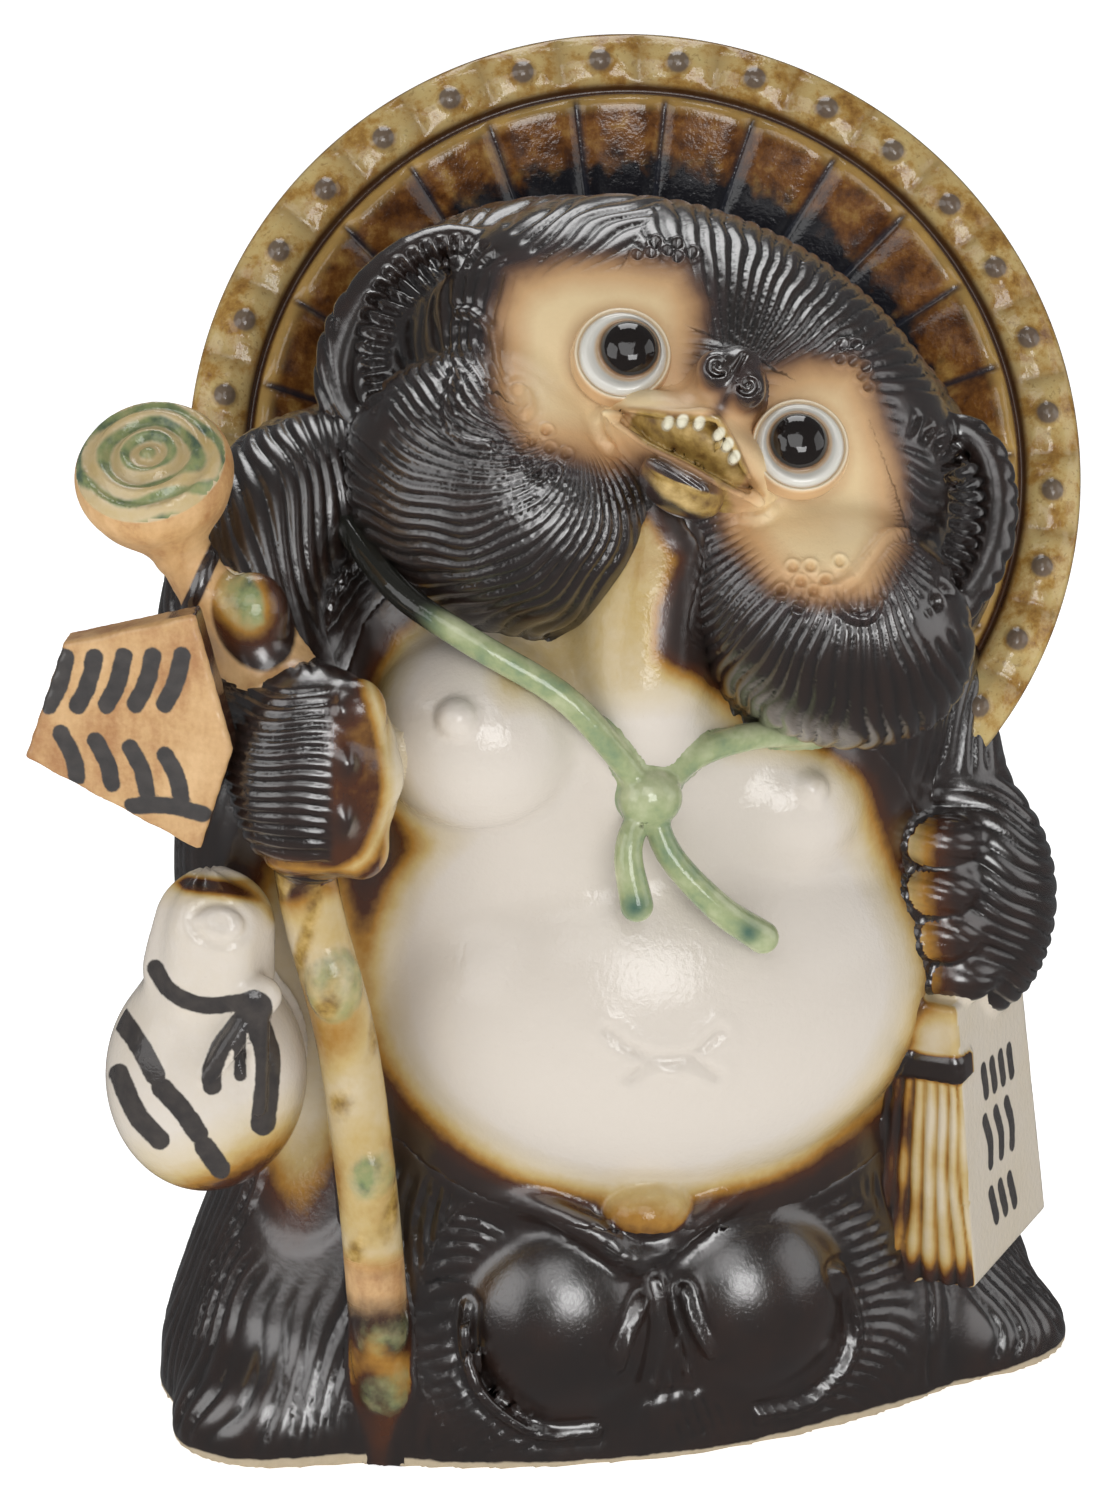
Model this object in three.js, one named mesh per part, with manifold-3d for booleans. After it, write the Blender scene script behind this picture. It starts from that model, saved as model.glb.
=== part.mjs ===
// Shigaraki tanuki: a glazed stoneware raccoon-dog figure, cast as one piece.
// Units are millimetres, +Z is up and the figure faces -Y. The pieces are placed about a
// sculpting axis near the throat's plumb line, and the last step sets the origin under the
// middle of the figure, on the surface that it stands on.
import * as THREE from "three";
import { mergeVertices } from "three/addons/utils/BufferGeometryUtils.js";
import Module from "manifold-3d";

const wasm = await Module();
wasm.setup();

// Driving dimensions
const ORIGIN = [0, 5];

const HAT_RADIUS = 100.5;
const HAT_CENTRE = [26, 26, 206.5];
const HAT_YAW = -11;
const HAT_PITCH = 30;
const HAT_BAND = 14;
const HAT_STUDS = 33;
const HAT_RIBS = 26;
const HAT_SEGMENTS = 3 * HAT_STUDS;
const STUD_HEIGHT = 1.3;
const RIB_HEIGHT = 1.6;

const EYES_MIDDLE = [21.5, -42, 242];
const HEAD_YAW = -11;
const HEAD_PITCH = 35;
const HEAD_ROLL = 30;
const HEAD_DEPTH = 43;
const EYE_SPACING = 41.5;
const EYE_RADIUS = 10.3;
const PUPIL_RADIUS = 6.9;

const BELLY_CENTRE = [17.5, -12, 100];
const BELLY_RADII = [66, 50, 52];

const STAFF_RADIUS = 6.6;
const CORD_RADIUS = 3;
const PLAQUE_THICKNESS = 8;
const PLAQUE_YAW = -24;
const LEDGER_YAW = 50;
const LEDGER = { width: 46, thickness: 20, height: 68, leaves: 6 };

// How deep the locks of fur are cut
const SKIRT_LOCK_DEPTH = 2.4;
const LOCK_DEPTH = 1.8;
const FINE_LOCK_DEPTH = 1.1;

const { clamp, degToRad, lerp, smoothstep } = THREE.MathUtils;
const TURN = 2 * Math.PI;

// Solids, joins and cuts

function solidOf(geometry) {
  geometry.deleteAttribute("normal");
  geometry.deleteAttribute("uv");
  const merged = mergeVertices(geometry, 1e-3);
  const corners = merged.index.array;
  const kept = [];
  for (let i = 0; i < corners.length; i += 3) {
    const [a, b, c] = [corners[i], corners[i + 1], corners[i + 2]];
    if (a !== b && b !== c && c !== a) {
      kept.push(a, b, c);
    }
  }
  return new wasm.Manifold(new wasm.Mesh({
    numProp: 3,
    vertProperties: merged.attributes.position.array,
    triVerts: new Uint32Array(kept),
  }));
}

function geometryOf(solid) {
  const mesh = solid.getMesh();
  const geometry = new THREE.BufferGeometry();
  geometry.setAttribute("position", new THREE.BufferAttribute(mesh.vertProperties, 3));
  geometry.setIndex(new THREE.BufferAttribute(mesh.triVerts, 1));
  return geometry;
}

function joined(solids) {
  return solids.reduce((whole, next) => whole.add(next));
}

// Moves every corner of a geometry by a rule
function shaped(geometry, rule) {
  const places = geometry.attributes.position;
  const corner = new THREE.Vector3();
  for (let i = 0; i < places.count; i += 1) {
    corner.fromBufferAttribute(places, i);
    rule(corner);
    places.setXYZ(i, corner.x, corner.y, corner.z);
  }
  return geometry;
}

// A frame whose X is the viewer's right, Y is up and Z comes out of the front
function facing(origin, yaw, pitch, roll = 0) {
  const [a, b, c] = [degToRad(yaw), degToRad(pitch), degToRad(roll)];
  const out = new THREE.Vector3(
    Math.sin(a) * Math.cos(b), -Math.cos(a) * Math.cos(b), Math.sin(b));
  const level = new THREE.Vector3(Math.cos(a), Math.sin(a), 0);
  const rise = new THREE.Vector3().crossVectors(out, level);
  const right = level.clone().multiplyScalar(Math.cos(c)).addScaledVector(rise, -Math.sin(c));
  const up = level.clone().multiplyScalar(Math.sin(c)).addScaledVector(rise, Math.cos(c));
  return new THREE.Matrix4().makeBasis(right, up, out).setPosition(...origin);
}

// A wave between 0 and 1 that cuts locks of fur, pleats and leaves
function locks(turns) {
  const phase = turns - Math.floor(turns);
  return 1 - Math.abs(2 * phase - 1);
}

function pathThrough(points) {
  return new THREE.CatmullRomCurve3(points.map((point) => new THREE.Vector3(...point)));
}

// An egg of three radii, with a relief rule that says how far a direction stands out
function egg(centre, radii, around, rows, relief = () => 0) {
  const ball = new THREE.SphereGeometry(1, around, rows);
  return shaped(ball, (corner) => {
    const out = relief(corner.clone());
    corner.set(
      centre[0] + corner.x * (radii[0] + out),
      centre[1] + corner.y * (radii[1] + out),
      centre[2] + corner.z * (radii[2] + out));
  });
}

// A limb with round ends that follows a path; the radii are spread evenly along it
function limb(points, radii, around, rows, relief = () => 0, roundness = 0.25) {
  const curve = pathThrough(points);
  const frames = curve.computeFrenetFrames(rows, false);
  const ball = new THREE.SphereGeometry(1, around, rows);
  return shaped(ball, (corner) => {
    const t = Math.acos(clamp(corner.y, -1, 1)) / Math.PI;
    const step = Math.round(t * rows);
    const angle = Math.atan2(corner.z, corner.x);
    const slot = t * (radii.length - 1);
    const low = Math.min(Math.floor(slot), radii.length - 2);
    const radius = lerp(radii[low], radii[low + 1], slot - low);
    const end = Math.max(0, (Math.abs(2 * t - 1) - 1 + roundness) / roundness);
    const fullness = Math.sqrt(Math.max(0, 1 - end * end));
    const reach = fullness * (radius + relief(t, angle));
    corner.copy(curve.getPoint(t))
      .addScaledVector(frames.normals[step], reach * Math.cos(angle))
      .addScaledVector(frames.binormals[step], reach * Math.sin(angle));
  });
}

// A round cord along a path
function cord(points, radius, sides, steps) {
  const section = new THREE.Shape().absarc(0, 0, radius, 0, TURN);
  return new THREE.ExtrudeGeometry(section, {
    steps, curveSegments: sides, bevelEnabled: false, extrudePath: pathThrough(points) });
}

// The sedge hat that hangs behind the head: a studded band, a ribbed inside, a coned back

function hat() {
  const inner = HAT_RADIUS - HAT_BAND;
  const bandMiddle = inner + HAT_BAND / 2;
  const ribsMiddle = inner - 10;
  const profile = [
    [0, -50], [HAT_RADIUS - 1, -5], [HAT_RADIUS, -1], [bandMiddle, 2.5], [inner, -1],
    [ribsMiddle, -6], [0, -24],
  ];
  const body = new THREE.LatheGeometry(
    profile.map(([radius, height]) => new THREE.Vector2(radius, height)), HAT_SEGMENTS);
  shaped(body, (corner) => {
    const radius = Math.hypot(corner.x, corner.z);
    const turns = Math.atan2(corner.z, corner.x) / TURN;
    if (Math.abs(radius - bandMiddle) < 1) {
      corner.y += STUD_HEIGHT * locks(turns * HAT_STUDS);
    }
    if (Math.abs(radius - ribsMiddle) < 1) {
      corner.y -= RIB_HEIGHT * Math.max(0, 2 * locks(turns * HAT_RIBS) - 1);
    }
  });
  return solidOf(body.rotateX(Math.PI / 2).applyMatrix4(facing(HAT_CENTRE, HAT_YAW, HAT_PITCH)));
}

// The head, modelled in a frame with the point between the eyes at its origin

function head() {
  const forehead = (side) => (
    -FINE_LOCK_DEPTH * smoothstep(side.y, 0.35, 0.6) * locks(side.x * 12));
  const parts = [
    egg([-5, 8, -HEAD_DEPTH], [63, 45, HEAD_DEPTH], 24, 8, forehead),
    egg([-6, 4, -62], [78, 55, 32], 20, 6),
    egg([0, -4, -8], [19, 14, 17], 10, 5),
    egg([2, 3.5, 6], [7.5, 5.5, 6], 9, 5),
    egg([3, -14, -4], [14, 8, 10], 9, 5),
    limb([[-19, -12, 0], [-9, -7, 6], [1, -4.5, 9], [10, -8, 6], [19, -13, 0]], [1, 2.2, 2.2, 1], 5, 6),
    limb([[-17, -13, 0], [-7, -16, 5], [5, -19, 7], [13, -17, 5], [19, -13.5, 0]], [1, 2.4, 2.4, 1], 5, 6),
  ];
  for (const side of [-1, 1]) {
    parts.push(egg([side * EYE_SPACING / 2, 0, -5.5], [EYE_RADIUS, EYE_RADIUS, 8], 11, 4));
    parts.push(egg([side * EYE_SPACING / 2, 0.5, 0], [PUPIL_RADIUS, PUPIL_RADIUS, 5], 8, 3));
  }
  for (let tooth = -2; tooth <= 2; tooth += 1) {
    parts.push(egg([tooth * 3, -8.6 - 0.4 * Math.abs(tooth), 8], [1.2, 1.5, 1.6], 4, 3));
  }
  parts.push(cheek([-31, -31, -28], [36, 30, 30], [0.75, 0.45, 0.5]));
  parts.push(cheek([43, -23, -30], [33, 26, 28], [-0.1, 0.8, 0.6]));
  parts.push(ear([-64, -6, -36], [15, 25], -8, 95, 26));
  parts.push(ear([53, 9, -37], [14, 23], 12, 100, -26));
  const place = facing(EYES_MIDDLE, HEAD_YAW, HEAD_PITCH, HEAD_ROLL);
  return joined(parts.map((part) => solidOf(part.applyMatrix4(place))));
}

// A fat tuft of fur, with locks combed away from a hub beside the mouth
function cheek(centre, radii, hub) {
  const count = 14;
  const tuft = shaped(new THREE.SphereGeometry(1, 2 * count, 6), (corner) => {
    const turns = Math.atan2(corner.z, corner.x) / TURN;
    const away = 1 - corner.y * corner.y;
    corner.multiplyScalar(1 - LOCK_DEPTH / radii[1] * locks(turns * count) * away);
  });
  const pole = new THREE.Vector3(...hub).normalize();
  const comb = new THREE.Quaternion().setFromUnitVectors(new THREE.Vector3(0, 1, 0), pole);
  return tuft.applyQuaternion(comb).scale(...radii).translate(...centre);
}

// An ear: a raised, ribbed ring round most of a dished pad
function ear([x, y, z], [wide, high], tilt, start, step) {
  const [cosine, sine] = [Math.cos(degToRad(tilt)), Math.sin(degToRad(tilt))];
  const ring = [];
  for (let i = 0; i <= 8; i += 1) {
    const angle = degToRad(start + step * i);
    const [across, along] = [wide * Math.cos(angle), high * Math.sin(angle)];
    ring.push([x + across * cosine - along * sine, y + across * sine + along * cosine, z + 2]);
  }
  const ribs = (t) => 0.8 * (locks(t * 5) - 0.5);
  return limb(ring, [3.8, 5, 5.4, 5, 3.8], 6, 10, ribs);
}

// The trunk and the fur skirt that it stands on
function trunk() {
  const rings = [
    [0, 13, 9, 104, 63], [12, 13, 9, 103, 63], [30, 12, 10, 96, 61], [55, 12, 10, 86, 58],
    [90, 14, 10, 77, 57], [130, 16, 7, 75, 56], [165, 17, 6, 78, 53], [195, 19, 12, 76, 46],
    [220, 22, 20, 58, 36],
  ];
  const heights = rings.map((ring) => ring[0]);
  const between = new THREE.CubicInterpolant(heights, rings.flatMap((ring) => ring.slice(1)), 4);
  const top = heights[heights.length - 1];
  const column = new THREE.CylinderGeometry(1, 1, 1, 44, 7).rotateX(Math.PI / 2);
  return solidOf(shaped(column, (corner) => {
    const height = (corner.z + 0.5) * top;
    const [middleX, middleY, halfWidth, halfDepth] = between.evaluate(height);
    const angle = Math.atan2(corner.y, corner.x);
    const reach = Math.hypot(corner.x, corner.y);
    const skirt = 1 - smoothstep(height, 50, 110);
    const cut = SKIRT_LOCK_DEPTH * locks(angle * 22 / TURN) * skirt * reach;
    corner.x = middleX + (halfWidth * reach - cut) * Math.cos(angle);
    corner.y = middleY + (halfDepth * reach - cut) * Math.sin(angle);
    corner.z = height;
  }));
}

function belly() {
  return solidOf(egg(BELLY_CENTRE, BELLY_RADII, 24, 12));
}

// The throat, the two breasts and their teats
function chest() {
  return joined([
    egg([-26, -29, 168], [24, 24, 22], 13, 7),
    egg([39, -29, 147], [22, 23, 20], 13, 7),
    egg([-36.8, -49.4, 178.2], [4.2, 4.2, 4.2], 6, 3),
    egg([43, -50.2, 154.2], [3.8, 3.8, 3.8], 6, 3),
    limb([[20, -22, 222], [11.5, -34, 202], [7, -40, 180], [4.5, -42, 158]], [17, 15, 15, 12], 10, 5),
  ].map(solidOf));
}

// What hangs below the belly: the roll and the button, the two lobes of the pouch and the folds
// beside them
function pouch() {
  return joined([
    egg([6.5, -47, 58.5], [9.5, 9, 6.5], 9, 4),
    limb([[-30, -44, 62], [-9, -50, 60], [4, -53, 51], [17, -50, 57], [48, -40, 62]], [2.5, 3.5, 4, 3.5, 2.5], 5, 8),
    egg([-9.5, -37, 31], [25, 22, 26], 12, 7),
    egg([31, -37, 30], [24.5, 22, 25.5], 12, 7),
    limb([[-36, -43, 40], [-33, -48, 20], [-16, -54, 7]], [3, 3.4, 3], 5, 5),
    limb([[53, -41, 38], [57, -44, 21], [39, -50, 5]], [3, 3.4, 3], 5, 5),
  ].map(solidOf));
}

// The two feet, with toes, and the tail at the back
function feet() {
  const toes = (side) => -1.8 * locks(side.x * 3) * smoothstep(-side.y, 0.1, 0.6);
  return joined([
    egg([-66, -15, 4], [28, 22, 19], 12, 6, toes),
    egg([90, -15, 2], [28, 21, 17], 12, 6, toes),
    egg([-14, 66, 34], [27, 17, 34], 12, 7, (side) => -LOCK_DEPTH * locks(side.x * 5)),
  ].map(solidOf));
}

// The flanks behind the bag and the book, the arms with fur cut along them, and the hands
function arms() {
  const combed = (t, angle) => -FINE_LOCK_DEPTH * locks(angle * 8 / TURN);
  const across = (side) => -FINE_LOCK_DEPTH * locks(side.y * 2.5);
  const hand = (centre, radii) => (
    egg([0, 0, 0], [radii[0], radii[2], radii[1]], 10, 11, across)
      .rotateX(Math.PI / 2).translate(...centre));
  const parts = [
    limb([[-46, 8, 214], [-62, 2, 210], [-74, -12, 192], [-70, -32, 172]], [18, 18, 18, 15], 16, 6, combed),
    limb([[58, 8, 192], [76, 1, 176], [84, -6, 150], [90, -16, 122]], [17, 17, 16, 14], 16, 6, combed),
    egg([-60, 0, 128], [27, 27, 62], 12, 8),
    egg([80, 0, 104], [22, 27, 62], 12, 8),
    hand([-66, -43, 166.5], [18.5, 16, 24]),
    hand([93, -20, 112], [17.5, 17, 28]),
  ];
  for (const [x, y, z] of [[-55, -52, 184], [-51, -51, 167], [-54, -51, 149]]) {
    parts.push(egg([x, y, z], [6, 6, 7], 5, 3));
  }
  for (const [x, y, z] of [[80, -31, 131], [79, -34, 121], [80, -35, 110.5], [84, -35, 100]]) {
    parts.push(egg([x, y, z], [8, 6, 5], 5, 3));
  }
  return joined(parts.map(solidOf));
}

// The gnarled staff: a sawn log end on a stem above the fist, and a knotted pole below it
function staff() {
  const pole = [
    [-70, -38, 168], [-66.5, -40, 136], [-59, -41, 102], [-54, -40, 58], [-50, -34, 6], [-50, -33, -6]];
  const stem = [[-70, -34, 182], [-79, -29, 196], [-88, -24, 209], [-94, -20, 224]];
  const sawn = [[0, -16], [10, -12], [16, -4], [16.5, 3], [13, 8], [9, 6], [5.5, 8.5], [0, 6.5]];
  const log = new THREE.LatheGeometry(sawn.map(([x, y]) => new THREE.Vector2(x, y)), 14);
  return joined([
    limb(pole, [STAFF_RADIUS, STAFF_RADIUS, STAFF_RADIUS, STAFF_RADIUS, STAFF_RADIUS + 2], 7, 9),
    limb(stem, [8, 7, 5.5, 9], 8, 5),
    log.rotateX(Math.PI / 2).applyMatrix4(facing([-94, -20, 228], -30, 55)),
    egg([-76, -31, 199], [8, 7, 9], 6, 4),
    egg([-63, -46, 119], [6, 4, 8], 5, 3),
    egg([-55, -45, 74], [5, 4, 6], 5, 3),
    egg([-52, -41, 32], [5.5, 4, 9], 5, 3),
  ].map(solidOf));
}

// The five-sided wooden tag that hangs from the staff
function plaque() {
  const corners = [[-28, 0], [0, 7.5], [7.5, -22], [0, -45], [-37, -26]];
  const outline = new THREE.Shape(corners.map(([x, y]) => new THREE.Vector2(x, y)));
  const board = new THREE.ExtrudeGeometry(outline, {
    depth: PLAQUE_THICKNESS - 2, bevelThickness: 1, bevelSize: 1, bevelOffset: -1, bevelSegments: 1 });
  return solidOf(board.applyMatrix4(facing([-89, -39.5, 197.5], PLAQUE_YAW, 0)));
}

// The money bag, gathered at its neck and tied with a ribbon
function bag() {
  const pleats = (t, angle) => -1.4 * locks(angle * 7 / TURN);
  return joined([
    egg([-87, -26, 93], [22, 20, 26.5], 15, 8),
    limb([[-87.5, -28, 107], [-87, -31, 120], [-86, -33, 130]], [12, 13.8, 12.5], 14, 5, pleats, 0.3),
    limb([[-86.5, -33, 127], [-86, -35, 135]], [7, 6], 7, 3),
    egg([-80, -43.5, 117], [6, 4, 5], 6, 3),
    limb([[-80, -44, 115], [-86, -45, 107], [-91, -44.5, 100]], [2.6, 3, 1.8], 4, 4),
    limb([[-79, -44, 115], [-80, -44.5, 104], [-80, -45.5, 92]], [2.6, 3, 1.8], 4, 4),
  ].map(solidOf));
}

// The bound account book that hangs from the right hand
function ledger() {
  const { width, thickness, height, leaves } = LEDGER;
  const book = new THREE.BoxGeometry(width, height, thickness, 1, 1, 2 * leaves);
  shaped(book, (corner) => {
    const rise = corner.y / height + 0.5;
    const leaf = Math.round((corner.z / thickness + 0.5) * 2 * leaves);
    if (corner.x < 0 && leaf % 2 === 1) {
      corner.x += 1.4;
    }
    corner.z *= lerp(1.3, 0.7, rise);
    corner.x = corner.x > 0 ? corner.x - 7 * rise : corner.x;
  });
  const strap = new THREE.BoxGeometry(width - 2, 5, thickness * 0.9).translate(-3, 18, 0);
  const place = facing([88.2, -22.5, 62.5], LEDGER_YAW, 0);
  return joined([solidOf(book.applyMatrix4(place)), solidOf(strap.applyMatrix4(place))]);
}

// The cord that holds the hat, knotted on the chest
function neckCord() {
  const knot = [5, -53, 157.5];
  const left = [[-52, -4, 213], [-45, -30, 202], [-32, -43, 193], [-14, -50, 181.5], [-3, -53, 169], knot];
  const right = [knot, [16, -50, 164.5], [30, -48, 167], [48, -42, 164.5], [64, -33, 166], [73, -26, 171]];
  return joined([
    cord(left, CORD_RADIUS, 3, 11),
    cord(right, CORD_RADIUS, 3, 8),
    cord([knot, [-1, -58, 148], [0, -61, 136]], CORD_RADIUS * 1.1, 3, 3),
    cord([knot, [8, -58, 146], [18, -62, 134], [28, -62, 126]], CORD_RADIUS * 1.2, 3, 5),
    egg(knot, [7, 6, 6.5], 8, 5),
  ].map(solidOf));
}

// The whole figure, cut off flat at the foot
function figure() {
  const whole = joined([
    hat(), head(), trunk(), belly(), chest(), pouch(), feet(), arms(), staff(), plaque(), bag(),
    ledger(), neckCord(),
  ]);
  const above = new THREE.BoxGeometry(400, 400, 400).translate(0, 0, 200);
  const standing = whole.intersect(solidOf(above));
  return geometryOf(standing).translate(-ORIGIN[0], -ORIGIN[1], 0);
}

const glaze = new THREE.MeshStandardMaterial({ color: 0x3a2418, roughness: 0.22, metalness: 0 });
const statue = new THREE.Mesh(figure(), glaze);
statue.name = "tanuki_statue";

const group = new THREE.Group();
group.add(statue);
export default group;
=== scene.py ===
import math

import bpy
import numpy as np
from mathutils import Matrix, Vector


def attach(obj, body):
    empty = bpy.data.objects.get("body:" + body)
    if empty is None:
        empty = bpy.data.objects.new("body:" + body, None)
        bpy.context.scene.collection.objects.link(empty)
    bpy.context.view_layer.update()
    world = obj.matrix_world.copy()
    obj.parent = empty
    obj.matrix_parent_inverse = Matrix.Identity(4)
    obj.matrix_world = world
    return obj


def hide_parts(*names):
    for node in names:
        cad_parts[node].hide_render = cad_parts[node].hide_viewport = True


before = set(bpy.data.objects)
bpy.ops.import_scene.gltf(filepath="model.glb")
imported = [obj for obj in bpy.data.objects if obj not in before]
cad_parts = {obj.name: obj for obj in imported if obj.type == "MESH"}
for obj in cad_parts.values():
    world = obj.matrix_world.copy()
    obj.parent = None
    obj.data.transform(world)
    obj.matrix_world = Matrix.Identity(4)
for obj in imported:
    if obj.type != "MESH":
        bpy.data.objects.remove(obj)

bl_info = {
    "name": "Shigaraki Tanuki",
    "version": (1, 0, 0),
    "blender": (4, 5, 0),
    "location": "View3D > Sidebar > Tanuki",
    "description": "Builds a glazed stoneware raccoon-dog figure round its packed frame",
    "category": "Object",
}

# Places are in millimetres about the sculpting axis. X is the viewer's right, Y goes back and
# Z goes up. An ellipsoid is its centre and radii, and a limb its points and the radii along it.
FIGURE = "tanuki_statue"
MM = 0.001
FRAME_ORIGIN = (0.0, 5.0, 0.0)
TURN = 2 * math.pi
SEED = 11

# The view of the photograph
VIEW_AZIMUTH = -16.0
VIEW_ELEVATION = 20.0
VIEW_DISTANCE = 1300.0
VIEW_TARGET = (0.0, 0.0, 150.0)
VIEW_LENS = 140.5
SENSOR = 36.0

# The hat
HAT_CENTRE = (26, 26, 206.5)
HAT_YAW = -11
HAT_PITCH = 30
HAT_CAP_DEPTH = 50
HAT_DISH_DEPTH = 24
HAT_CONE_RADIUS = 64
HAT_SLOPE = 0.93

# The head, in a frame with the point between the eyes at its origin
EYES_MIDDLE = (21.5, -42, 242)
HEAD_YAW = -11
HEAD_PITCH = 35
HEAD_ROLL = 30

# The body
TRUNK_RINGS = [
    (0, 13, 9, 104, 63), (12, 13, 9, 103, 63), (30, 12, 10, 96, 61), (55, 12, 10, 86, 58),
    (90, 14, 10, 77, 57), (130, 16, 7, 75, 56), (165, 17, 6, 78, 53), (195, 19, 12, 76, 46),
    (220, 22, 20, 58, 36),
]
BELLY = ((17.5, -12, 100), (66, 50, 52))
BREASTS = [((-26, -29, 168), (24, 24, 22)), ((39, -29, 147), (22, 23, 20))]
TEATS = [((-36.0, -47.9, 177.5), (4.4, 4.4, 4.4)), ((42.7, -48.6, 153.7), (4.0, 4.0, 4.0))]
THROAT = ([(20, -22, 222), (11.5, -34, 202), (7, -40, 180), (4.5, -42, 158)], (17, 15, 15, 12))
SIDES = [((-60, 0, 128), (27, 27, 62)), ((80, 0, 104), (22, 27, 62))]
LOBES = [((-9.5, -37, 31), (25, 22, 26)), ((31, -37, 30), (24.5, 22, 25.5))]
BUTTON = ((6.5, -47, 58.5), (9.5, 9, 6.5))
ROLL = (
    [(-40, -28, 60), (-20, -43, 61), (-8, -50, 56.5), (4, -53, 49), (16, -50, 54.5),
     (32, -43.5, 60), (54, -27, 62)],
    (1.0, 2.2, 3.2, 3.8, 3.2, 2.2, 1.0))
POUCH_FOLDS = [
    [(-35.3, -47, 39), (-34.2, -49, 29), (-31.5, -50, 20), (-24.7, -51, 12), (-17, -51, 8), (-4, -51, 6.5)],
    [(52.4, -44, 36.7), (55.3, -45, 30), (56.7, -45, 21.6), (53.7, -46, 13.5), (47.9, -47, 7),
     (32, -49, 4)],
]
FOLD_RADII = (0.8, 1.5, 1.5, 0.8)
FEET = [((-66, -15, 4), (28, 22, 19)), ((90, -15, 2), (28, 21, 17))]
TAIL = ((-14, 66, 34), (27, 17, 34))
KNOT = (5, -53, 157.5)


def size_property(name, description, value, low, high):
    return bpy.props.FloatProperty(
        name=name, description=description, default=value, min=low, max=high,
        subtype="DISTANCE", unit="LENGTH")


def count_property(name, description, value):
    return bpy.props.IntProperty(name=name, description=description, default=value, min=8, max=80)


def colour_property(name, description, value):
    return bpy.props.FloatVectorProperty(
        name=name, description=description, default=(*value, 1.0), size=4, min=0, max=1,
        subtype="COLOR")


class TanukiSizes(bpy.types.PropertyGroup):
    """Sizes of the figure that a potter would change."""

    hat_radius: size_property("Hat radius", "Middle of the hat to its outer edge", 0.1005, 0.05, 0.2)
    hat_band: size_property("Hat band", "Width of the studded band round the hat", 0.014, 0.005, 0.03)
    hat_studs: count_property("Hat studs", "Number of studs round the band", 33)
    hat_ribs: count_property("Hat ribs", "Number of ribs inside the hat", 26)
    stud_height: size_property("Stud height", "How far a stud stands out of the band", 0.0015, 0, 0.004)
    fur_depth: size_property("Fur depth", "Depth of the combed grooves of the fur", 0.0007, 0, 0.003)
    eye_radius: size_property("Eye radius", "Radius of the white of an eye", 0.0093, 0.005, 0.015)
    pupil_radius: size_property("Pupil radius", "Radius of the black of an eye", 0.0061, 0.002, 0.012)
    cord_radius: size_property("Cord radius", "Radius of the cord round the neck", 0.003, 0.001, 0.006)
    staff_radius: size_property("Staff radius", "Radius of the staff", 0.0066, 0.003, 0.012)


class TanukiGlazes(bpy.types.PropertyGroup):
    """Colours of the glazes."""

    black: colour_property("Black", "Iron glaze where it lies thick", (0.012, 0.009, 0.008))
    brown: colour_property("Brown", "Iron glaze where it thins", (0.075, 0.024, 0.009))
    amber: colour_property("Amber", "Edge of the iron glaze over white", (0.36, 0.18, 0.035))
    straw: colour_property("Straw", "Faint iron blush over white", (0.52, 0.38, 0.16))
    cream: colour_property("Cream", "White glaze of the belly", (0.66, 0.60, 0.53))
    tan: colour_property("Tan", "Airbrushed face", (0.80, 0.62, 0.36))
    clay: colour_property("Clay", "Bare clay round the foot", (0.40, 0.32, 0.21))
    ochre: colour_property("Ochre", "Yellow glaze of the hat", (0.56, 0.40, 0.16))
    rust: colour_property("Rust", "Brown glaze of the hat", (0.22, 0.085, 0.018))
    celadon: colour_property("Celadon", "Green glaze of the cord", (0.33, 0.38, 0.20))
    moss: colour_property("Moss", "Green glaze of the knots", (0.25, 0.29, 0.13))
    ink: colour_property("Ink", "Black underglaze strokes", (0.035, 0.033, 0.034))
    wood: colour_property("Wood", "Bare orange clay of staff and tag", (0.60, 0.355, 0.15))


def sizes():
    return bpy.context.scene.tanuki_sizes


def glazes():
    return bpy.context.scene.tanuki_glazes


# Distances, in millimetres, of a 3 by N array of points

def column(values):
    """Three values as a column, for sums with a 3 by N array."""
    return np.array(values, np.float32).reshape(3, 1)


def length(vectors):
    return np.sqrt((vectors * vectors).sum(0))


def egg(p, centre, radii):
    """Distance to an ellipsoid, true near its skin."""
    q = (p - column(centre)) / column(radii)
    near = length(q)
    slope = length(q / column(radii))
    return near * (near - 1) / np.maximum(slope, 1e-6)


def melt(a, b, width):
    """Two distances joined with a fillet."""
    share = np.maximum(width - np.abs(a - b), 0) / width
    return np.minimum(a, b) - share * share * width / 4


def melted(parts, width):
    """Several distances joined with fillets, in order."""
    whole = parts[0]
    for part in parts[1:]:
        whole = melt(whole, part, width)
    return whole


def carve(a, b, width):
    """A distance with another shape cut out of it, its edge rounded."""
    return -melt(-a, b, width)


def fillet(own, rest, width, reach):
    """A piece's distance with a fillet to the rest, ended at its reach from the piece."""
    return np.maximum(melt(own, rest, width), own - reach)


def with_eggs(whole, p, eggs, width):
    """A distance with ellipsoids melted on, each a centre and its radii."""
    for centre, radii in eggs:
        whole = melt(whole, egg(p, centre, radii), width)
    return whole


def near_eggs(p, eggs):
    """Distance to the nearest of several ellipsoids."""
    return np.minimum.reduce([egg(p, centre, radii) for centre, radii in eggs])


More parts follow.
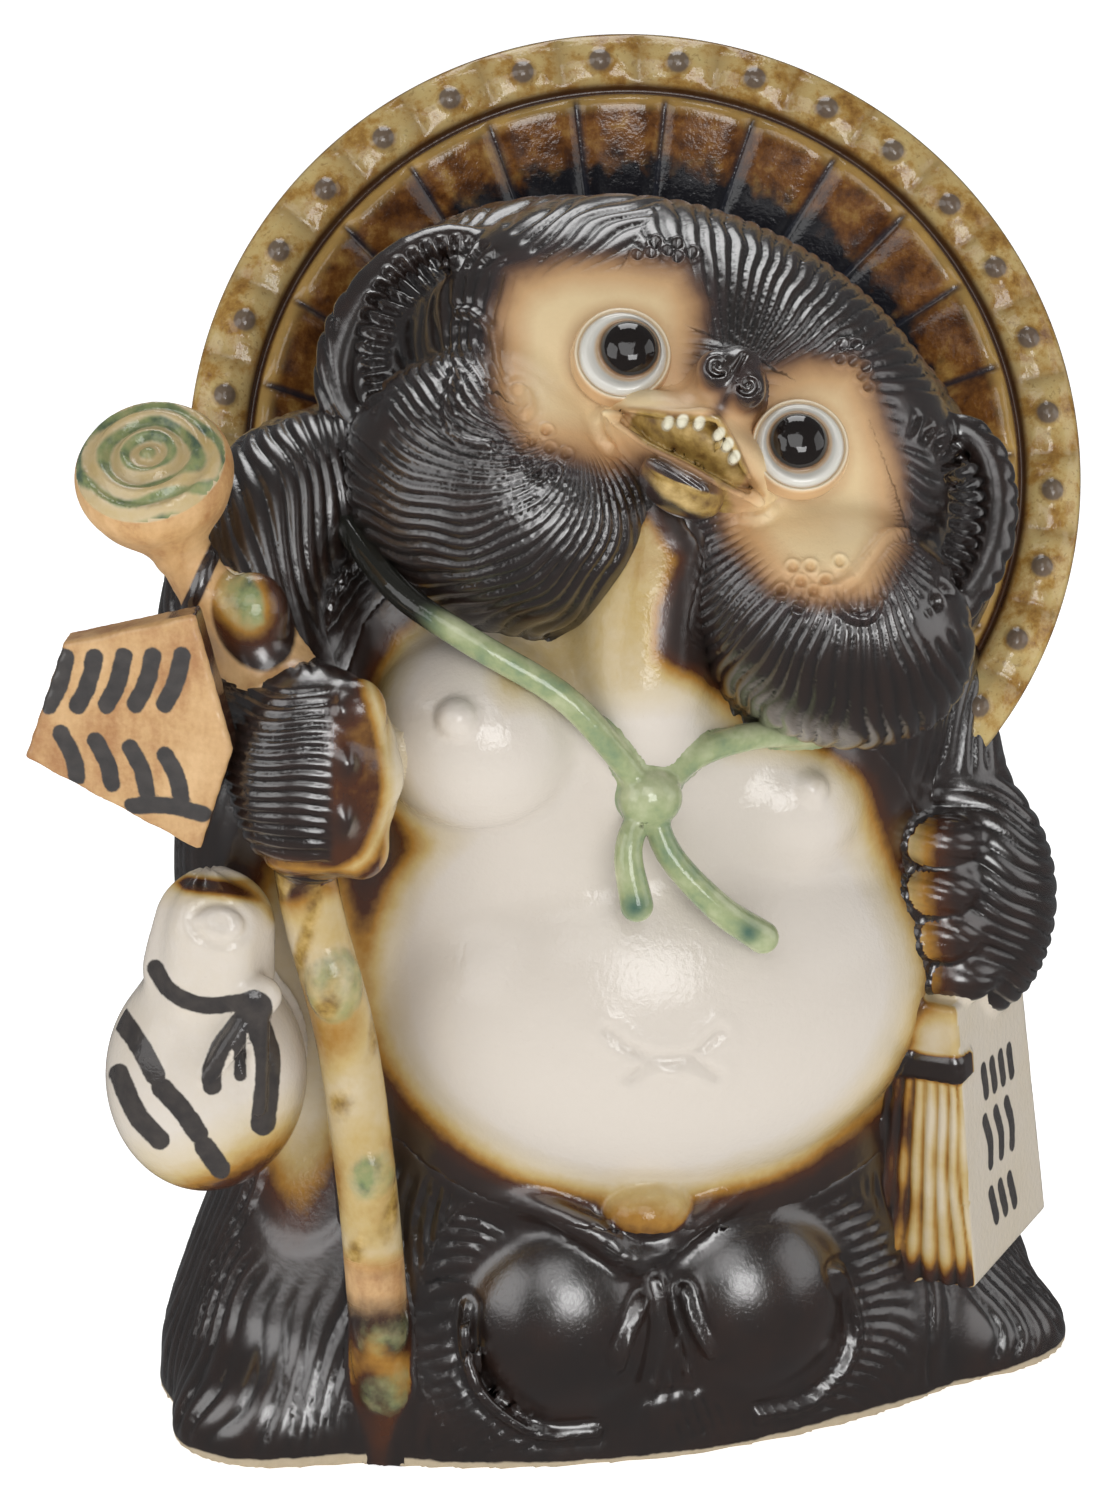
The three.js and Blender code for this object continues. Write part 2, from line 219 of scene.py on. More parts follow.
def curve(points, steps):
    """A Catmull-Rom curve through the points, ends included."""
    known = np.array(points, float)
    known = np.vstack([2 * known[0] - known[1], known, 2 * known[-1] - known[-2]])
    made = []
    for i in range(1, len(known) - 2):
        a, b, c, d = known[i - 1:i + 3]
        for t in np.linspace(0, 1, steps, endpoint=False):
            made.append(0.5 * (2 * b + (c - a) * t + (2 * a - 5 * b + 4 * c - d) * t ** 2
                               + (3 * b - a - 3 * c + d) * t ** 3))
    return np.array([*made, known[-2]])


def limb(p, points, radii, steps=5):
    """Distance to a round limb along a curve, its radii spread evenly along it."""
    stations = curve(points, steps)
    marks = np.linspace(0, len(radii) - 1, len(stations))
    widths = np.interp(marks, np.arange(len(radii)), radii)
    best = None
    for i in range(len(stations) - 1):
        a, way = column(stations[i]), column(stations[i + 1] - stations[i])
        off = p - a
        t = np.clip((off * way).sum(0) / float((way * way).sum()), 0, 1)
        d = length(off - way * t) - (widths[i] + (widths[i + 1] - widths[i]) * t)
        best = d if best is None else np.minimum(best, d)
    return best


def with_limbs(whole, p, lines, radii, width, steps=5):
    """A distance with limbs of the same radii melted on."""
    for line in lines:
        whole = melt(whole, limb(p, line, radii, steps), width)
    return whole


def axes(yaw, pitch, roll=0):
    """Rows: the viewer's right, up, and out of the front."""
    a, b, c = np.radians([yaw, pitch, roll])
    out = np.array([np.sin(a) * np.cos(b), -np.cos(a) * np.cos(b), np.sin(b)])
    level = np.array([np.cos(a), np.sin(a), 0])
    rise = np.cross(out, level)
    right = level * np.cos(c) - rise * np.sin(c)
    up = level * np.sin(c) + rise * np.cos(c)
    return np.array([right, up, out], np.float32)


HEAD_AXES = axes(HEAD_YAW, HEAD_PITCH, HEAD_ROLL)
HAT_AXES = axes(HAT_YAW, HAT_PITCH)


def local(p, origin, rows):
    """Points in a frame that has its own origin and axes."""
    return rows @ (p - column(origin))


def ease(x, low, high):
    """0 below low, 1 above high, and smooth between."""
    t = np.clip((x - low) / (high - low), 0, 1)
    return t * t * (3 - 2 * t)


def hermite(x, stations, values):
    """A smooth curve through values at stations."""
    stations, values = np.array(stations, float), np.array(values, float)
    slopes = np.gradient(values, stations)
    i = np.clip(np.searchsorted(stations, x, side="right") - 1, 0, len(stations) - 2)
    span = stations[i + 1] - stations[i]
    t = np.clip((x - stations[i]) / span, 0, 1)
    return ((1 + 2 * t) * (1 - t) ** 2 * values[i] + t * (1 - t) ** 2 * span * slopes[i]
            + t * t * (3 - 2 * t) * values[i + 1] + t * t * (t - 1) * span * slopes[i + 1])


def outline(a, b, corners):
    """Distance in a plane to a closed outline, negative inside."""
    best = None
    inside = np.zeros(a.shape, bool)
    for (x0, y0), (x1, y1) in zip(corners, [*corners[1:], corners[0]]):
        wx, wy = x1 - x0, y1 - y0
        t = np.clip(((a - x0) * wx + (b - y0) * wy) / (wx * wx + wy * wy), 0, 1)
        d = np.hypot(a - x0 - t * wx, b - y0 - t * wy)
        best = d if best is None else np.minimum(best, d)
        if y0 != y1:
            crosses = ((y0 <= b) != (y1 <= b)) & (a < x0 + (b - y0) * wx / (y1 - y0))
            inside ^= crosses
    return np.where(inside, -best, best)


LINE_STEPS = 4


def track(a, b, points):
    """Distance in a plane to a line through the points, and how far along it that is."""
    path = np.array(points, float)
    if len(points) > 2:
        path = curve([(x, y, 0) for x, y in points], LINE_STEPS)[:, :2]
    best = np.full(a.shape, np.inf)
    place = np.zeros(a.shape)
    run = 0.0
    for (x0, y0), (x1, y1) in zip(path[:-1], path[1:]):
        wx, wy = x1 - x0, y1 - y0
        span = math.hypot(wx, wy)
        t = np.clip(((a - x0) * wx + (b - y0) * wy) / (span * span), 0, 1)
        d = np.hypot(a - x0 - t * wx, b - y0 - t * wy)
        nearer = d < best
        place = np.where(nearer, run + t * span, place)
        best = np.where(nearer, d, best)
        run += span
    return best, place


def stroke(a, b, points):
    """Distance in a plane to a line through the points."""
    return track(a, b, points)[0]


def near_lines(a, b, lines):
    """Distance in a plane to the nearest of several lines."""
    return np.minimum.reduce([stroke(a, b, line) for line in lines])


def near_points(a, b, points):
    """Distance in a plane to the nearest of several points."""
    return np.minimum.reduce([np.hypot(a - x, b - y) for x, y in points])


# A picture plane through the middle of the figure, square to the photograph's view

def view_back():
    a, e = math.radians(VIEW_AZIMUTH), math.radians(VIEW_ELEVATION)
    return np.array([math.sin(a) * math.cos(e), -math.cos(a) * math.cos(e), math.sin(e)])


def shown(p):
    """Where points show on the picture plane, in millimetres right and up from its middle."""
    back = view_back()
    turned = math.radians(VIEW_AZIMUTH)
    right = np.array([math.cos(turned), math.sin(turned), 0])
    up = np.cross(back, right)
    off = p - (np.array(VIEW_TARGET) + back * VIEW_DISTANCE).reshape(3, 1)
    depth = -(back @ off)
    return VIEW_DISTANCE * (right @ off) / depth, VIEW_DISTANCE * (up @ off) / depth


# Waves, grooves and noise

WAVES = 24
WAVES_SUMMED = 6
RANDOM = np.random.default_rng(SEED)
WAVE_WAYS = RANDOM.normal(size=(WAVES, 3))
WAVE_WAYS /= np.linalg.norm(WAVE_WAYS, axis=1, keepdims=True)
WAVE_STARTS = RANDOM.uniform(0, TURN, WAVES)


def ripple(p, wave, first=0):
    """A smooth wander between about -1 and 1, its wavelength in millimetres."""
    total = 0
    for i in range(first, first + WAVES_SUMMED):
        stretch = 0.7 + 0.12 * (i - first)
        total = total + np.sin((WAVE_WAYS[i] @ p) * TURN / wave * stretch + WAVE_STARTS[i])
    return total / 3


def groove(turns):
    """1 in a groove's bed and 0 on the lock's back, one groove a turn."""
    return (1 - np.abs(np.sin(np.pi * turns))) ** 1.4


def bell(x, width):
    """1 at 0, falling to nothing a little beyond the width."""
    return np.exp(-(x / width) ** 2)


def combed(turns, mask):
    """Layers of a combed skin: where the grooves lie, how deep they are, and their beds."""
    return {"comb": turns, "fur": mask, "cut": groove(turns) * mask}


# Skins: a closed mesh where a distance is zero

CELL_CORNERS = [(0, 0, 0), (1, 0, 0), (0, 1, 0), (1, 1, 0), (0, 0, 1), (1, 0, 1), (0, 1, 1), (1, 1, 1)]
CELL_EDGES = [(i, i | bit) for bit in (1, 2, 4) for i in range(8) if not i & bit]
COARSE = 3
NEAR_SKIN = 1.9
LONGEST_MOVE = 1.0
FIRST_MOVES = 3
LATER_MOVES = 2


def grid_points(nodes, low, step):
    return (nodes * step + low).T.astype(np.float32)


def sampled(field, low, high, step):
    """The field on a grid: rough everywhere, and exact near the skin."""
    rough_step = step * COARSE
    shape = np.ceil((high - low) / rough_step).astype(int) + 1
    nodes = np.argwhere(np.ones(shape, bool))
    values = field(grid_points(nodes, low, rough_step)).reshape(shape)
    for axis in range(3):
        values = np.repeat(values, COARSE, axis)
    near = np.argwhere(np.abs(values) < rough_step * NEAR_SKIN)
    values[tuple(near.T)] = field(grid_points(near, low, step))
    return values


def nets(values, low, step):
    """Surface nets: a corner in each cell that the skin crosses, a face on each crossed edge."""
    inside = values < 0
    n = [s - 1 for s in values.shape]
    count = np.zeros(n, np.int8)
    for dx, dy, dz in CELL_CORNERS:
        count += inside[dx:dx + n[0], dy:dy + n[1], dz:dz + n[2]]
    cells = np.argwhere((count > 0) & (count < 8))
    number = np.full(n, -1, np.int64)
    number[tuple(cells.T)] = np.arange(len(cells))
    at = [values[tuple((cells + corner).T)] for corner in np.array(CELL_CORNERS)]
    total = np.zeros((len(cells), 3))
    hits = np.zeros(len(cells))
    for a, b in CELL_EDGES:
        crossed = (at[a] < 0) != (at[b] < 0)
        t = np.where(crossed, at[a] / np.where(crossed, at[a] - at[b], 1), 0)
        start = np.array(CELL_CORNERS[a])
        way = np.array(CELL_CORNERS[b]) - start
        total += crossed[:, None] * (start + t[:, None] * way)
        hits += crossed
    corners = low + step * (cells + total / hits[:, None])
    quads = []
    for axis in range(3):
        e, f = (axis + 1) % 3, (axis + 2) % 3
        one = np.eye(3, dtype=int)
        lower = [slice(0, -1) if k == axis else slice(1, -1) for k in range(3)]
        upper = [slice(1, None) if k == axis else slice(1, -1) for k in range(3)]
        a, b = inside[tuple(lower)], inside[tuple(upper)]
        for flip, crossing in ((False, a & ~b), (True, ~a & b)):
            edges = np.argwhere(crossing) + np.array([0 if k == axis else 1 for k in range(3)])
            ring = [edges - one[e] - one[f], edges - one[f], edges, edges - one[e]]
            ids = np.stack([number[tuple(r.T)] for r in ring], 1)
            quads.append(ids[:, ::-1] if flip else ids)
    quads = np.vstack(quads)
    return corners, quads[(quads >= 0).all(1)]


def triangles_of(corners, quads):
    """Each four-sided face cut along its shorter diagonal."""
    a, b, c, d = (corners[quads[:, k]] for k in range(4))
    short = np.linalg.norm(a - c, axis=1) <= np.linalg.norm(b - d, axis=1)
    first = np.where(short[:, None], quads[:, [0, 1, 2]], quads[:, [0, 1, 3]])
    second = np.where(short[:, None], quads[:, [0, 2, 3]], quads[:, [1, 2, 3]])
    return np.vstack([first, second])


def normals_of(corners, faces):
    """The outward direction at each corner."""
    a, b, c = (corners[faces[:, k]] for k in range(3))
    across = np.cross(b - a, c - a)
    total = np.zeros_like(corners)
    for k in range(3):
        for axis in range(3):
            total[:, axis] += np.bincount(faces[:, k], across[:, axis], len(corners))
    return total / np.maximum(np.linalg.norm(total, axis=1, keepdims=True), 1e-12)


def pressed(corners, faces, depth):
    """Corners moved into the skin by a depth, or out of it where the depth is below 0."""
    return corners - depth[:, None] * normals_of(corners, faces)


def split(corners, faces, wanted):
    """Halves each edge that is longer than wanted at its middle, and joins the pieces up."""
    sides = np.sort(np.stack([faces, np.roll(faces, -1, 1)], 2).reshape(-1, 2), axis=1)
    keys, which = np.unique(sides[:, 0] * len(corners) + sides[:, 1], return_inverse=True)
    ends = np.stack([keys // len(corners), keys % len(corners)], 1)
    middle = corners[ends].mean(1)
    span = np.linalg.norm(corners[ends[:, 0]] - corners[ends[:, 1]], axis=1)
    limit = wanted(middle.T.astype(np.float32)) if callable(wanted) else wanted
    long = span > limit
    number = np.full(len(keys), -1)
    number[long] = len(corners) + np.arange(long.sum())
    mids = number[which].reshape(-1, 3)
    code = (mids >= 0) @ np.array([1, 2, 4])
    turn = np.array([0, 0, 1, 0, 2, 2, 1, 0])[code]
    order = (np.arange(3) + turn[:, None]) % 3
    a, b, c = np.take_along_axis(faces, order, 1).T
    m, n, o = np.take_along_axis(mids, order, 1).T
    sort = np.array([0, 1, 1, 2, 1, 2, 2, 3])[code]
    none, one, two, three = (sort == k for k in range(4))
    made = [
        (none, (a, b, c)), (one, (a, m, c)), (one, (m, b, c)), (two, (m, b, n)), (two, (a, m, n)),
        (two, (a, n, c)), (three, (a, m, o)), (three, (m, b, n)), (three, (o, n, c)), (three, (m, n, o)),
    ]
    faces = np.vstack([np.stack([x[kind] for x in trio], 1) for kind, trio in made])
    return np.vstack([corners, middle[long]]), faces


def settled(field, corners, faces, times):
    """Corners moved along their normals onto the skin."""
    for _ in range(times):
        off = np.clip(field(corners.T.astype(np.float32)), -LONGEST_MOVE, LONGEST_MOVE)
        corners = pressed(corners, faces, off)
    return corners


def skin(field, wanted, box, step, rounds):
    """Corners and triangles of a shape: nets first, then edges as short as wanted."""
    low, high = (np.array(corner, float) for corner in box)

    def closed(p):
        """The field, ended a step inside the box so that no skin is left open."""
        beyond = np.abs(p - column((low + high) / 2)) - column((high - low) / 2 - step)
        return np.maximum(field(p), beyond.max(0))

    corners, quads = nets(sampled(closed, low, high, step), low, step)
    faces = triangles_of(corners, quads)
    corners = settled(closed, corners, faces, FIRST_MOVES)
    for _ in range(rounds):
        corners, faces = split(corners, faces, wanted)
        corners = settled(closed, corners, faces, LATER_MOVES)
    return corners, faces


def finer_in_front(y, front, back):
    """The edges wanted in front of a plane and behind it."""
    return lambda p: np.where(p[1] < y, front, back)


# Layers that a piece doesn't give are as here, and ABSENT is a distance far outside a mark

ABSENT = -9
LAYERS = {
    "light": ABSENT, "warm": 0, "cut": 0, "comb": 0.25, "fur": 0, "peel": 0, "ink": ABSENT,
    "green": ABSENT, "bare": ABSENT, "gold": ABSENT, "white": ABSENT, "wood": ABSENT,
}


def piece(name, corners, faces, slot, layers, paint=None):
    """A mesh object at the origin, with a number at each corner for each layer."""
    mesh = bpy.data.meshes.new(name)
    places = (corners - np.array(FRAME_ORIGIN)) * MM
    mesh.vertices.add(len(places))
    mesh.vertices.foreach_set("co", places.astype(np.float32).ravel())
    mesh.loops.add(faces.size)
    mesh.loops.foreach_set("vertex_index", faces.astype(np.int32).ravel())
    mesh.polygons.add(len(faces))
    mesh.polygons.foreach_set("loop_start", np.arange(0, faces.size, 3, dtype=np.int32))
    mesh.update(calc_edges=True)
    mesh.validate()
    mesh.shade_smooth()
    for key, values in {**LAYERS, **layers}.items():
        layer = mesh.attributes.new(key, "FLOAT", "POINT")
        layer.data.foreach_set("value", np.broadcast_to(values, len(places)).astype(np.float32))
    mesh.materials.append(paint or glaze(slot))
    made = bpy.data.objects.new(name, mesh)
    bpy.context.scene.collection.objects.link(made)
    return carried(made)


def carried(made):
    """An object that rides on the figure's node and stands for it."""
    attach(made, "root")
    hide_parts(FIGURE)
    print(f"{made.name}: {len(made.data.polygons)} faces")
    return made


# Node trees

class Wire:
    """A socket of a node tree that takes part in sums."""

    def __init__(self, tree, socket):
        self.tree = tree
        self.socket = socket

    def math(self, operation, *values):
        return self.tree.node("ShaderNodeMath", {"operation": operation}, dict(enumerate(values)))

    def __add__(self, other):
        return self.math("ADD", self, other)

    def __sub__(self, other):
        return self.math("SUBTRACT", self, other)

    def __mul__(self, other):
        return self.math("MULTIPLY", self, other)

    def __truediv__(self, other):
        return self.math("DIVIDE", self, other)

    def __radd__(self, other):
        return self.math("ADD", other, self)

    def __rsub__(self, other):
        return self.math("SUBTRACT", other, self)

    def __rmul__(self, other):
        return self.math("MULTIPLY", other, self)

    def __pow__(self, other):
        return self.math("POWER", self, other)

    def __abs__(self):
        return self.math("ABSOLUTE", self)

    def sine(self):
        return self.math("SINE", self)

    def cosine(self):
        return self.math("COSINE", self)

    def fraction(self):
        return self.math("FRACT", self)

    def at_most(self, other):
        return self.math("MINIMUM", self, other)

    def ease(self, low, high):
        """0 below low, 1 above high, and smooth between."""
        return self.tree.node(
            "ShaderNodeMapRange", {"interpolation_type": "SMOOTHSTEP"},
            {"Value": self, "From Min": low, "From Max": high})


class Tree:
    """Adds nodes to a tree, each from its type, its settings and its inputs."""

    def __init__(self, tree):
        self.tree = tree

    def node(self, kind, settings=None, inputs=None, output=0):
        node = self.tree.nodes.new(kind)
        for key, value in (settings or {}).items():
            if key == "stops":
                self.set_stops(node.color_ramp, value)
            elif key == "bends":
                self.set_bends(node.mapping, value)
            else:
                setattr(node, key, value)
        for key, value in (inputs or {}).items():
            if isinstance(value, Wire):
                self.tree.links.new(value.socket, node.inputs[key])
            else:
                node.inputs[key].default_value = value
        return Wire(self, node.outputs[output]) if len(node.outputs) else node

    @staticmethod
    def set_stops(ramp, stops):
        while len(ramp.elements) < len(stops):
            ramp.elements.new(1.0)
        for element, (place, value) in zip(ramp.elements, stops):
            element.position = place
            element.color = value

    @staticmethod
    def set_bends(mapping, points):
        line = mapping.curves[0]
        while len(line.points) < len(points):
            line.points.new(0.5, 0.5)
        for point, (x, y) in zip(line.points, points):
            point.location = (x, y)
            point.handle_type = "VECTOR"
        mapping.update()

    def layer(self, name):
        return self.node("ShaderNodeAttribute", {"attribute_name": name}, output="Fac")

    def mix(self, factor, a, b):
        """Colour a where the factor is 0 and colour b where it is 1."""
        return self.node(
            "ShaderNodeMix", {"data_type": "RGBA", "clamp_factor": True},
            {0: factor, 6: a, 7: b}, output=2)

    def ramp(self, factor, stops):
        return self.node("ShaderNodeValToRGB", {"stops": stops}, {0: factor})

    def noise(self, scale, detail, roughness=0.55, stretch=(1, 1, 1)):
        """Noise on Object coordinates, centred on 0, its scale in waves per metre."""
        place = self.node("ShaderNodeTexCoord", output="Object")
        place = self.node("ShaderNodeMapping", None, {0: place, 3: stretch})
        found = self.node(
            "ShaderNodeTexNoise", None,
            {"Vector": place, "Scale": scale, "Detail": detail, "Roughness": roughness})
        return found - 0.5

    def mottle(self, scale, stops, detail=4, roughness=0.55):
        """A ramp of colours over noise, its middle colour at 0.5."""
        return self.ramp(self.noise(scale, detail, roughness) + 0.5, stops)

    def bump(self, height, depth, normal=None):
        """A normal from a height, and the depth in metres that 1 of it stands for."""
        inputs = {"Strength": 1.0, "Distance": depth, "Height": height}
        if normal is not None:
            inputs["Normal"] = normal
        return self.node("ShaderNodeBump", None, inputs)


def finish(name, build):
    """A material, made once: build(tree) returns the inputs of its shader, wires and constants."""
    if name in bpy.data.materials:
        return bpy.data.materials[name]
    material = bpy.data.materials.new(name)
    material.use_nodes = True
    material.node_tree.nodes.clear()
    tree = Tree(material.node_tree)
    shader = tree.node("ShaderNodeBsdfPrincipled", None, build(tree))
    tree.node("ShaderNodeOutputMaterial", None, {"Surface": shader})
    return material


# Glazes: tones beside the ones that the add-on's properties hold

THIN_BLACK = (0.022, 0.012, 0.009, 1)
PALE_STRAW = (0.62, 0.53, 0.38, 1)
DEEP_TAN = (0.035, 0.024, 0.024, 1)
DARK_TAN = (0.16, 0.085, 0.05, 1)
MIDDLE_TAN = (0.42, 0.24, 0.115, 1)
LIGHT_TAN = (0.64, 0.40, 0.20, 1)
SPECK = (0.35, 0.2, 0.08, 1)
WOOD_DARK = (0.44, 0.21, 0.075, 1)
WOOD_LIGHT = (0.72, 0.46, 0.22, 1)
GREEN_DARK = (0.08, 0.12, 0.08, 1)
GREEN_LIGHT = (0.38, 0.35, 0.17, 1)
HONEY_DARK = (0.13, 0.06, 0.015, 1)
HONEY = (0.36, 0.23, 0.06, 1)
HONEY_LIGHT = (0.60, 0.42, 0.16, 1)
TOOTH = (0.74, 0.70, 0.54, 1)
WORN_INK = (0.10, 0.085, 0.075, 1)
CLAY_LIGHT = (0.52, 0.43, 0.30, 1)
EDGE_SPAN = 24.0
PEEL_DEPTH = 0.0002
WAVE_DEPTH = 0.00012
COMB_SHARE = 0.5


def edge_stops(stops):
    """Ramp stops from distances in millimetres, EDGE_SPAN of them across the ramp."""
    return [((mm + EDGE_SPAN / 2) / EDGE_SPAN, value) for mm, value in stops]


def light_over_dark(tree, edge, warm):
    """Colour by the distance in millimetres to the edge of a light window."""
    g = glazes()
    place = (edge + EDGE_SPAN / 2) / EDGE_SPAN
    cream = tree.ramp(place, edge_stops([
        (-9, g.black), (-4.5, THIN_BLACK), (-2.2, g.brown), (-0.6, g.amber), (1.0, g.straw),
        (3.2, PALE_STRAW), (7, g.cream)]))
    tan = tree.ramp(place, edge_stops([
        (-7, g.black), (-3.5, DEEP_TAN), (-1.2, DARK_TAN), (1.2, MIDDLE_TAN), (4.0, LIGHT_TAN),
        (9, g.tan)]))
    return tree.mix(warm, cream, tan)


def coat(tree, under, layer, paint, wander, scale, soft):
    """A colour laid over another where a layer of distances is above 0, its edge uneven."""
    edge = tree.layer(layer) + tree.noise(scale, 3) * wander
    return tree.mix(edge.ease(-soft, soft), under, paint)


def glaze(name):
    """Iron black, its thin brown edges, white and painted marks, told apart by layers."""
    def build(tree):
        g = glazes()
        edge, warm, cut = (tree.layer(key) for key in ("light", "warm", "cut"))
        drift = edge + tree.noise(55, 4) * 3.0 + tree.noise(420, 3) * 1.2
        dark = 1 - drift.ease(-5, 0)
        paint = light_over_dark(tree, drift, warm)
        thin = ((tree.noise(90, 4) + 0.5) ** 2.0) * dark * (1 - cut)
        paint = tree.mix(thin * 0.45, paint, g.brown)
        speck = tree.noise(1500, 2).ease(0.18, 0.30)
        paint = tree.mix(speck * (1 - dark) * 0.10, paint, SPECK)
        paint = tree.mix(cut.ease(0.2, 1.0) * (1 - dark) * 0.55, paint, g.amber)
        grain = tree.noise(90, 4, stretch=(1.4, 1.4, 0.5)) + tree.noise(900, 2) * 0.25
        timber = tree.ramp(grain + 0.5, [(0.30, WOOD_DARK), (0.50, g.wood), (0.72, WOOD_LIGHT)])
        leaf = tree.mottle(170, [(0.3, GREEN_DARK), (0.5, g.moss), (0.7, GREEN_LIGHT)])
        honey = tree.mottle(220, [(0.3, HONEY_DARK), (0.5, HONEY), (0.7, HONEY_LIGHT)])
        worn = tree.mix(tree.noise(260, 3) + 0.35, g.ink, WORN_INK)
        clay = tree.mix(tree.noise(500, 3) + 0.5, g.clay, CLAY_LIGHT)
        for layer, colour, wander, scale, soft in [
            ("wood", timber, 2.0, 200, 1.2),
            ("green", leaf, 3.0, 200, 1.2),
            ("gold", honey, 1.2, 300, 0.8),
            ("white", TOOTH, 0.3, 600, 0.3),
            ("ink", worn, 0.7, 500, 0.25),
            ("bare", clay, 2.0, 160, 0.3),
        ]:
            paint = coat(tree, paint, layer, colour, wander, scale, soft)
        foot = tree.layer("bare").ease(-0.5, 0.5)
        dry = tree.layer("wood").ease(-1, 1) * 0.35
        satin = warm * (1 - dark) * 0.30
        rough = 0.12 + tree.noise(80, 2) * 0.06 + satin + foot * 0.6 + dry
        ridge = (abs((tree.layer("comb") * math.pi).sine()) ** 0.7) * tree.layer("fur")
        peel = tree.bump(tree.noise(1100, 2, 0.5) * tree.layer("peel"), PEEL_DEPTH)
        waves = tree.noise(700, 2) + tree.noise(2400, 2) * 0.25
        normal = tree.bump(ridge, sizes().fur_depth * COMB_SHARE, tree.bump(waves, WAVE_DEPTH, peel))
        return {
            "Base Color": paint, "Roughness": rough, "Coat Weight": dark * (1 - foot) * (1 - dry),
            "Coat IOR": 1.95, "Coat Roughness": 0.27, "Normal": normal}
    return finish(name + "_paint", build)


# The head

def head_place(p):
    return local(p, EYES_MIDDLE, HEAD_AXES)


FACE_LEAN = (0.06, 0.274)


def face_plane(q):
    """Where points of the head show on the plane of the face, seen from the front."""
    return q[0] - FACE_LEAN[0] * q[2], q[1] + FACE_LEAN[1] * q[2]


SKULL = ((-5, 8, -43), (63, 45, 43))
COWL = ((-6, 4, -62), (78, 55, 32))
BEAK = ((1, -10, -8), (20, 9, 17))
BRIDGE = ((2.5, 2, -2), (8, 9, 11))
BEAK_SUNK = 3

# Each ear's middle, its two radii, and in degrees its tilt, where its rim starts and each step
EARS = [((-64, -6, -36), (15, 25), -8, 95, 26), ((53, 9, -37), (14, 23), 12, 100, -26)]
EAR_STEPS = 9
EAR_OUT = 2
EAR_RADII = (3.4, 4.4, 4.8, 4.4, 3.4)
CHEEKS = [((-31, -31, -28), (36, 30, 29.4)), ((43, -23, -30), (33, 26, 28))]


def ear_ring(place, spans, tilt, start, step):
    """Points round the rim of an ear."""
    turned = math.radians(tilt)
    ring = []
    for i in range(EAR_STEPS):
        angle = math.radians(start + step * i)
        across, along = spans[0] * math.cos(angle), spans[1] * math.sin(angle)
        ring.append((
            place[0] + across * math.cos(turned) - along * math.sin(turned),
            place[1] + across * math.sin(turned) + along * math.cos(turned), place[2] + EAR_OUT))
    return ring


def muzzle_base(q):
    """The beak below and the bridge of the nose above, narrow between the eyes."""
    return melt(egg(q, *BEAK), egg(q, *BRIDGE), 5)


def head_field(p):
    q = head_place(p)
    whole = melt(egg(q, *SKULL), egg(q, *COWL), 5)
    whole = with_eggs(whole, q, CHEEKS, 4)
    whole = melt(whole, muzzle_base(q) + BEAK_SUNK, 5)
    return with_limbs(whole, q, [ear_ring(*ear) for ear in EARS], EAR_RADII, 2.0, 2)


def hat_disc(p):
    """A plain hat for fillets: the dish inside the band and the cone behind."""
    q = local(p, HAT_CENTRE, HAT_AXES)
    radius = np.hypot(q[0], q[1])
    rim = sizes().hat_radius / MM
    inner = rim - sizes().hat_band / MM
    front = q[2] - np.interp(radius, [0, inner, rim], [-HAT_DISH_DEPTH, -1, 0])
    back = np.interp(radius, [0, HAT_CONE_RADIUS, rim], [-HAT_CAP_DEPTH, -24, -4]) - q[2]
    return np.maximum(np.maximum(front, back) * HAT_SLOPE, radius - rim)


def ellipse(a, b, centre, radii, tilt=0.0):
    """Rough distance in a plane to an ellipse, negative inside."""
    c, s = math.cos(math.radians(tilt)), math.sin(math.radians(tilt))
    x, y = a - centre[0], b - centre[1]
    near = np.hypot((x * c + y * s) / radii[0], (y * c - x * s) / radii[1])
    return (near - 1) * min(radii)


# Places on the plane of the face

PATCHES = [
    [(-49.2, -4.2), (-49.8, 4.5), (-41.2, 13.3), (-29.6, 19.2), (-18.1, 22.8), (-11.3, 17.7), (-6, 5),
     (0, -8), (-6, -18), (-12, -24.2), (-19, -25.2), (-29.7, -27.6), (-38.5, -22.9), (-43, -15)],
    [(8.9, 10.1), (15.1, 17.1), (24.4, 21.6), (33.3, 14.9), (41.8, 6.2), (46.8, -1.1), (50.6, -9.1),
     (50.1, -23), (40.3, -29.5), (30.2, -31.1), (18.6, -25.8), (10, -18), (8, -4)],
]
BRIDGE_PATCH = ((3, -9), (20, 11))
WHISKERS = [
    [(-57.1, -7.4), (-54, -6.3), (-48.2, -8.8), (-43.3, -15.1), (-38.5, -23), (-33.2, -26.6),
     (-29.7, -27.5)],
    [(-50.7, -20.2), (-48.3, -28.6), (-45.3, -32.1), (-41.3, -33.5), (-36.3, -31.8)],
    [(50.3, -6.3), (46.9, -8.7), (45.3, -14.7), (44.4, -20.3), (42.5, -24.4), (40.1, -26.2)],
    [(41.7, -26.1), (46.9, -29.1), (51.2, -27.8), (51.8, -22.9)],
    [(-18.6, -13.6), (-18.7, -15.9), (-16.3, -18.6), (-13.4, -19.7)],
    [(18.3, -19.8), (21.4, -18.3), (22.8, -15.2)],
    [(-37, -17.5), (-34.7, -17.7), (-32.5, -20.2), (-32.9, -22)],
]
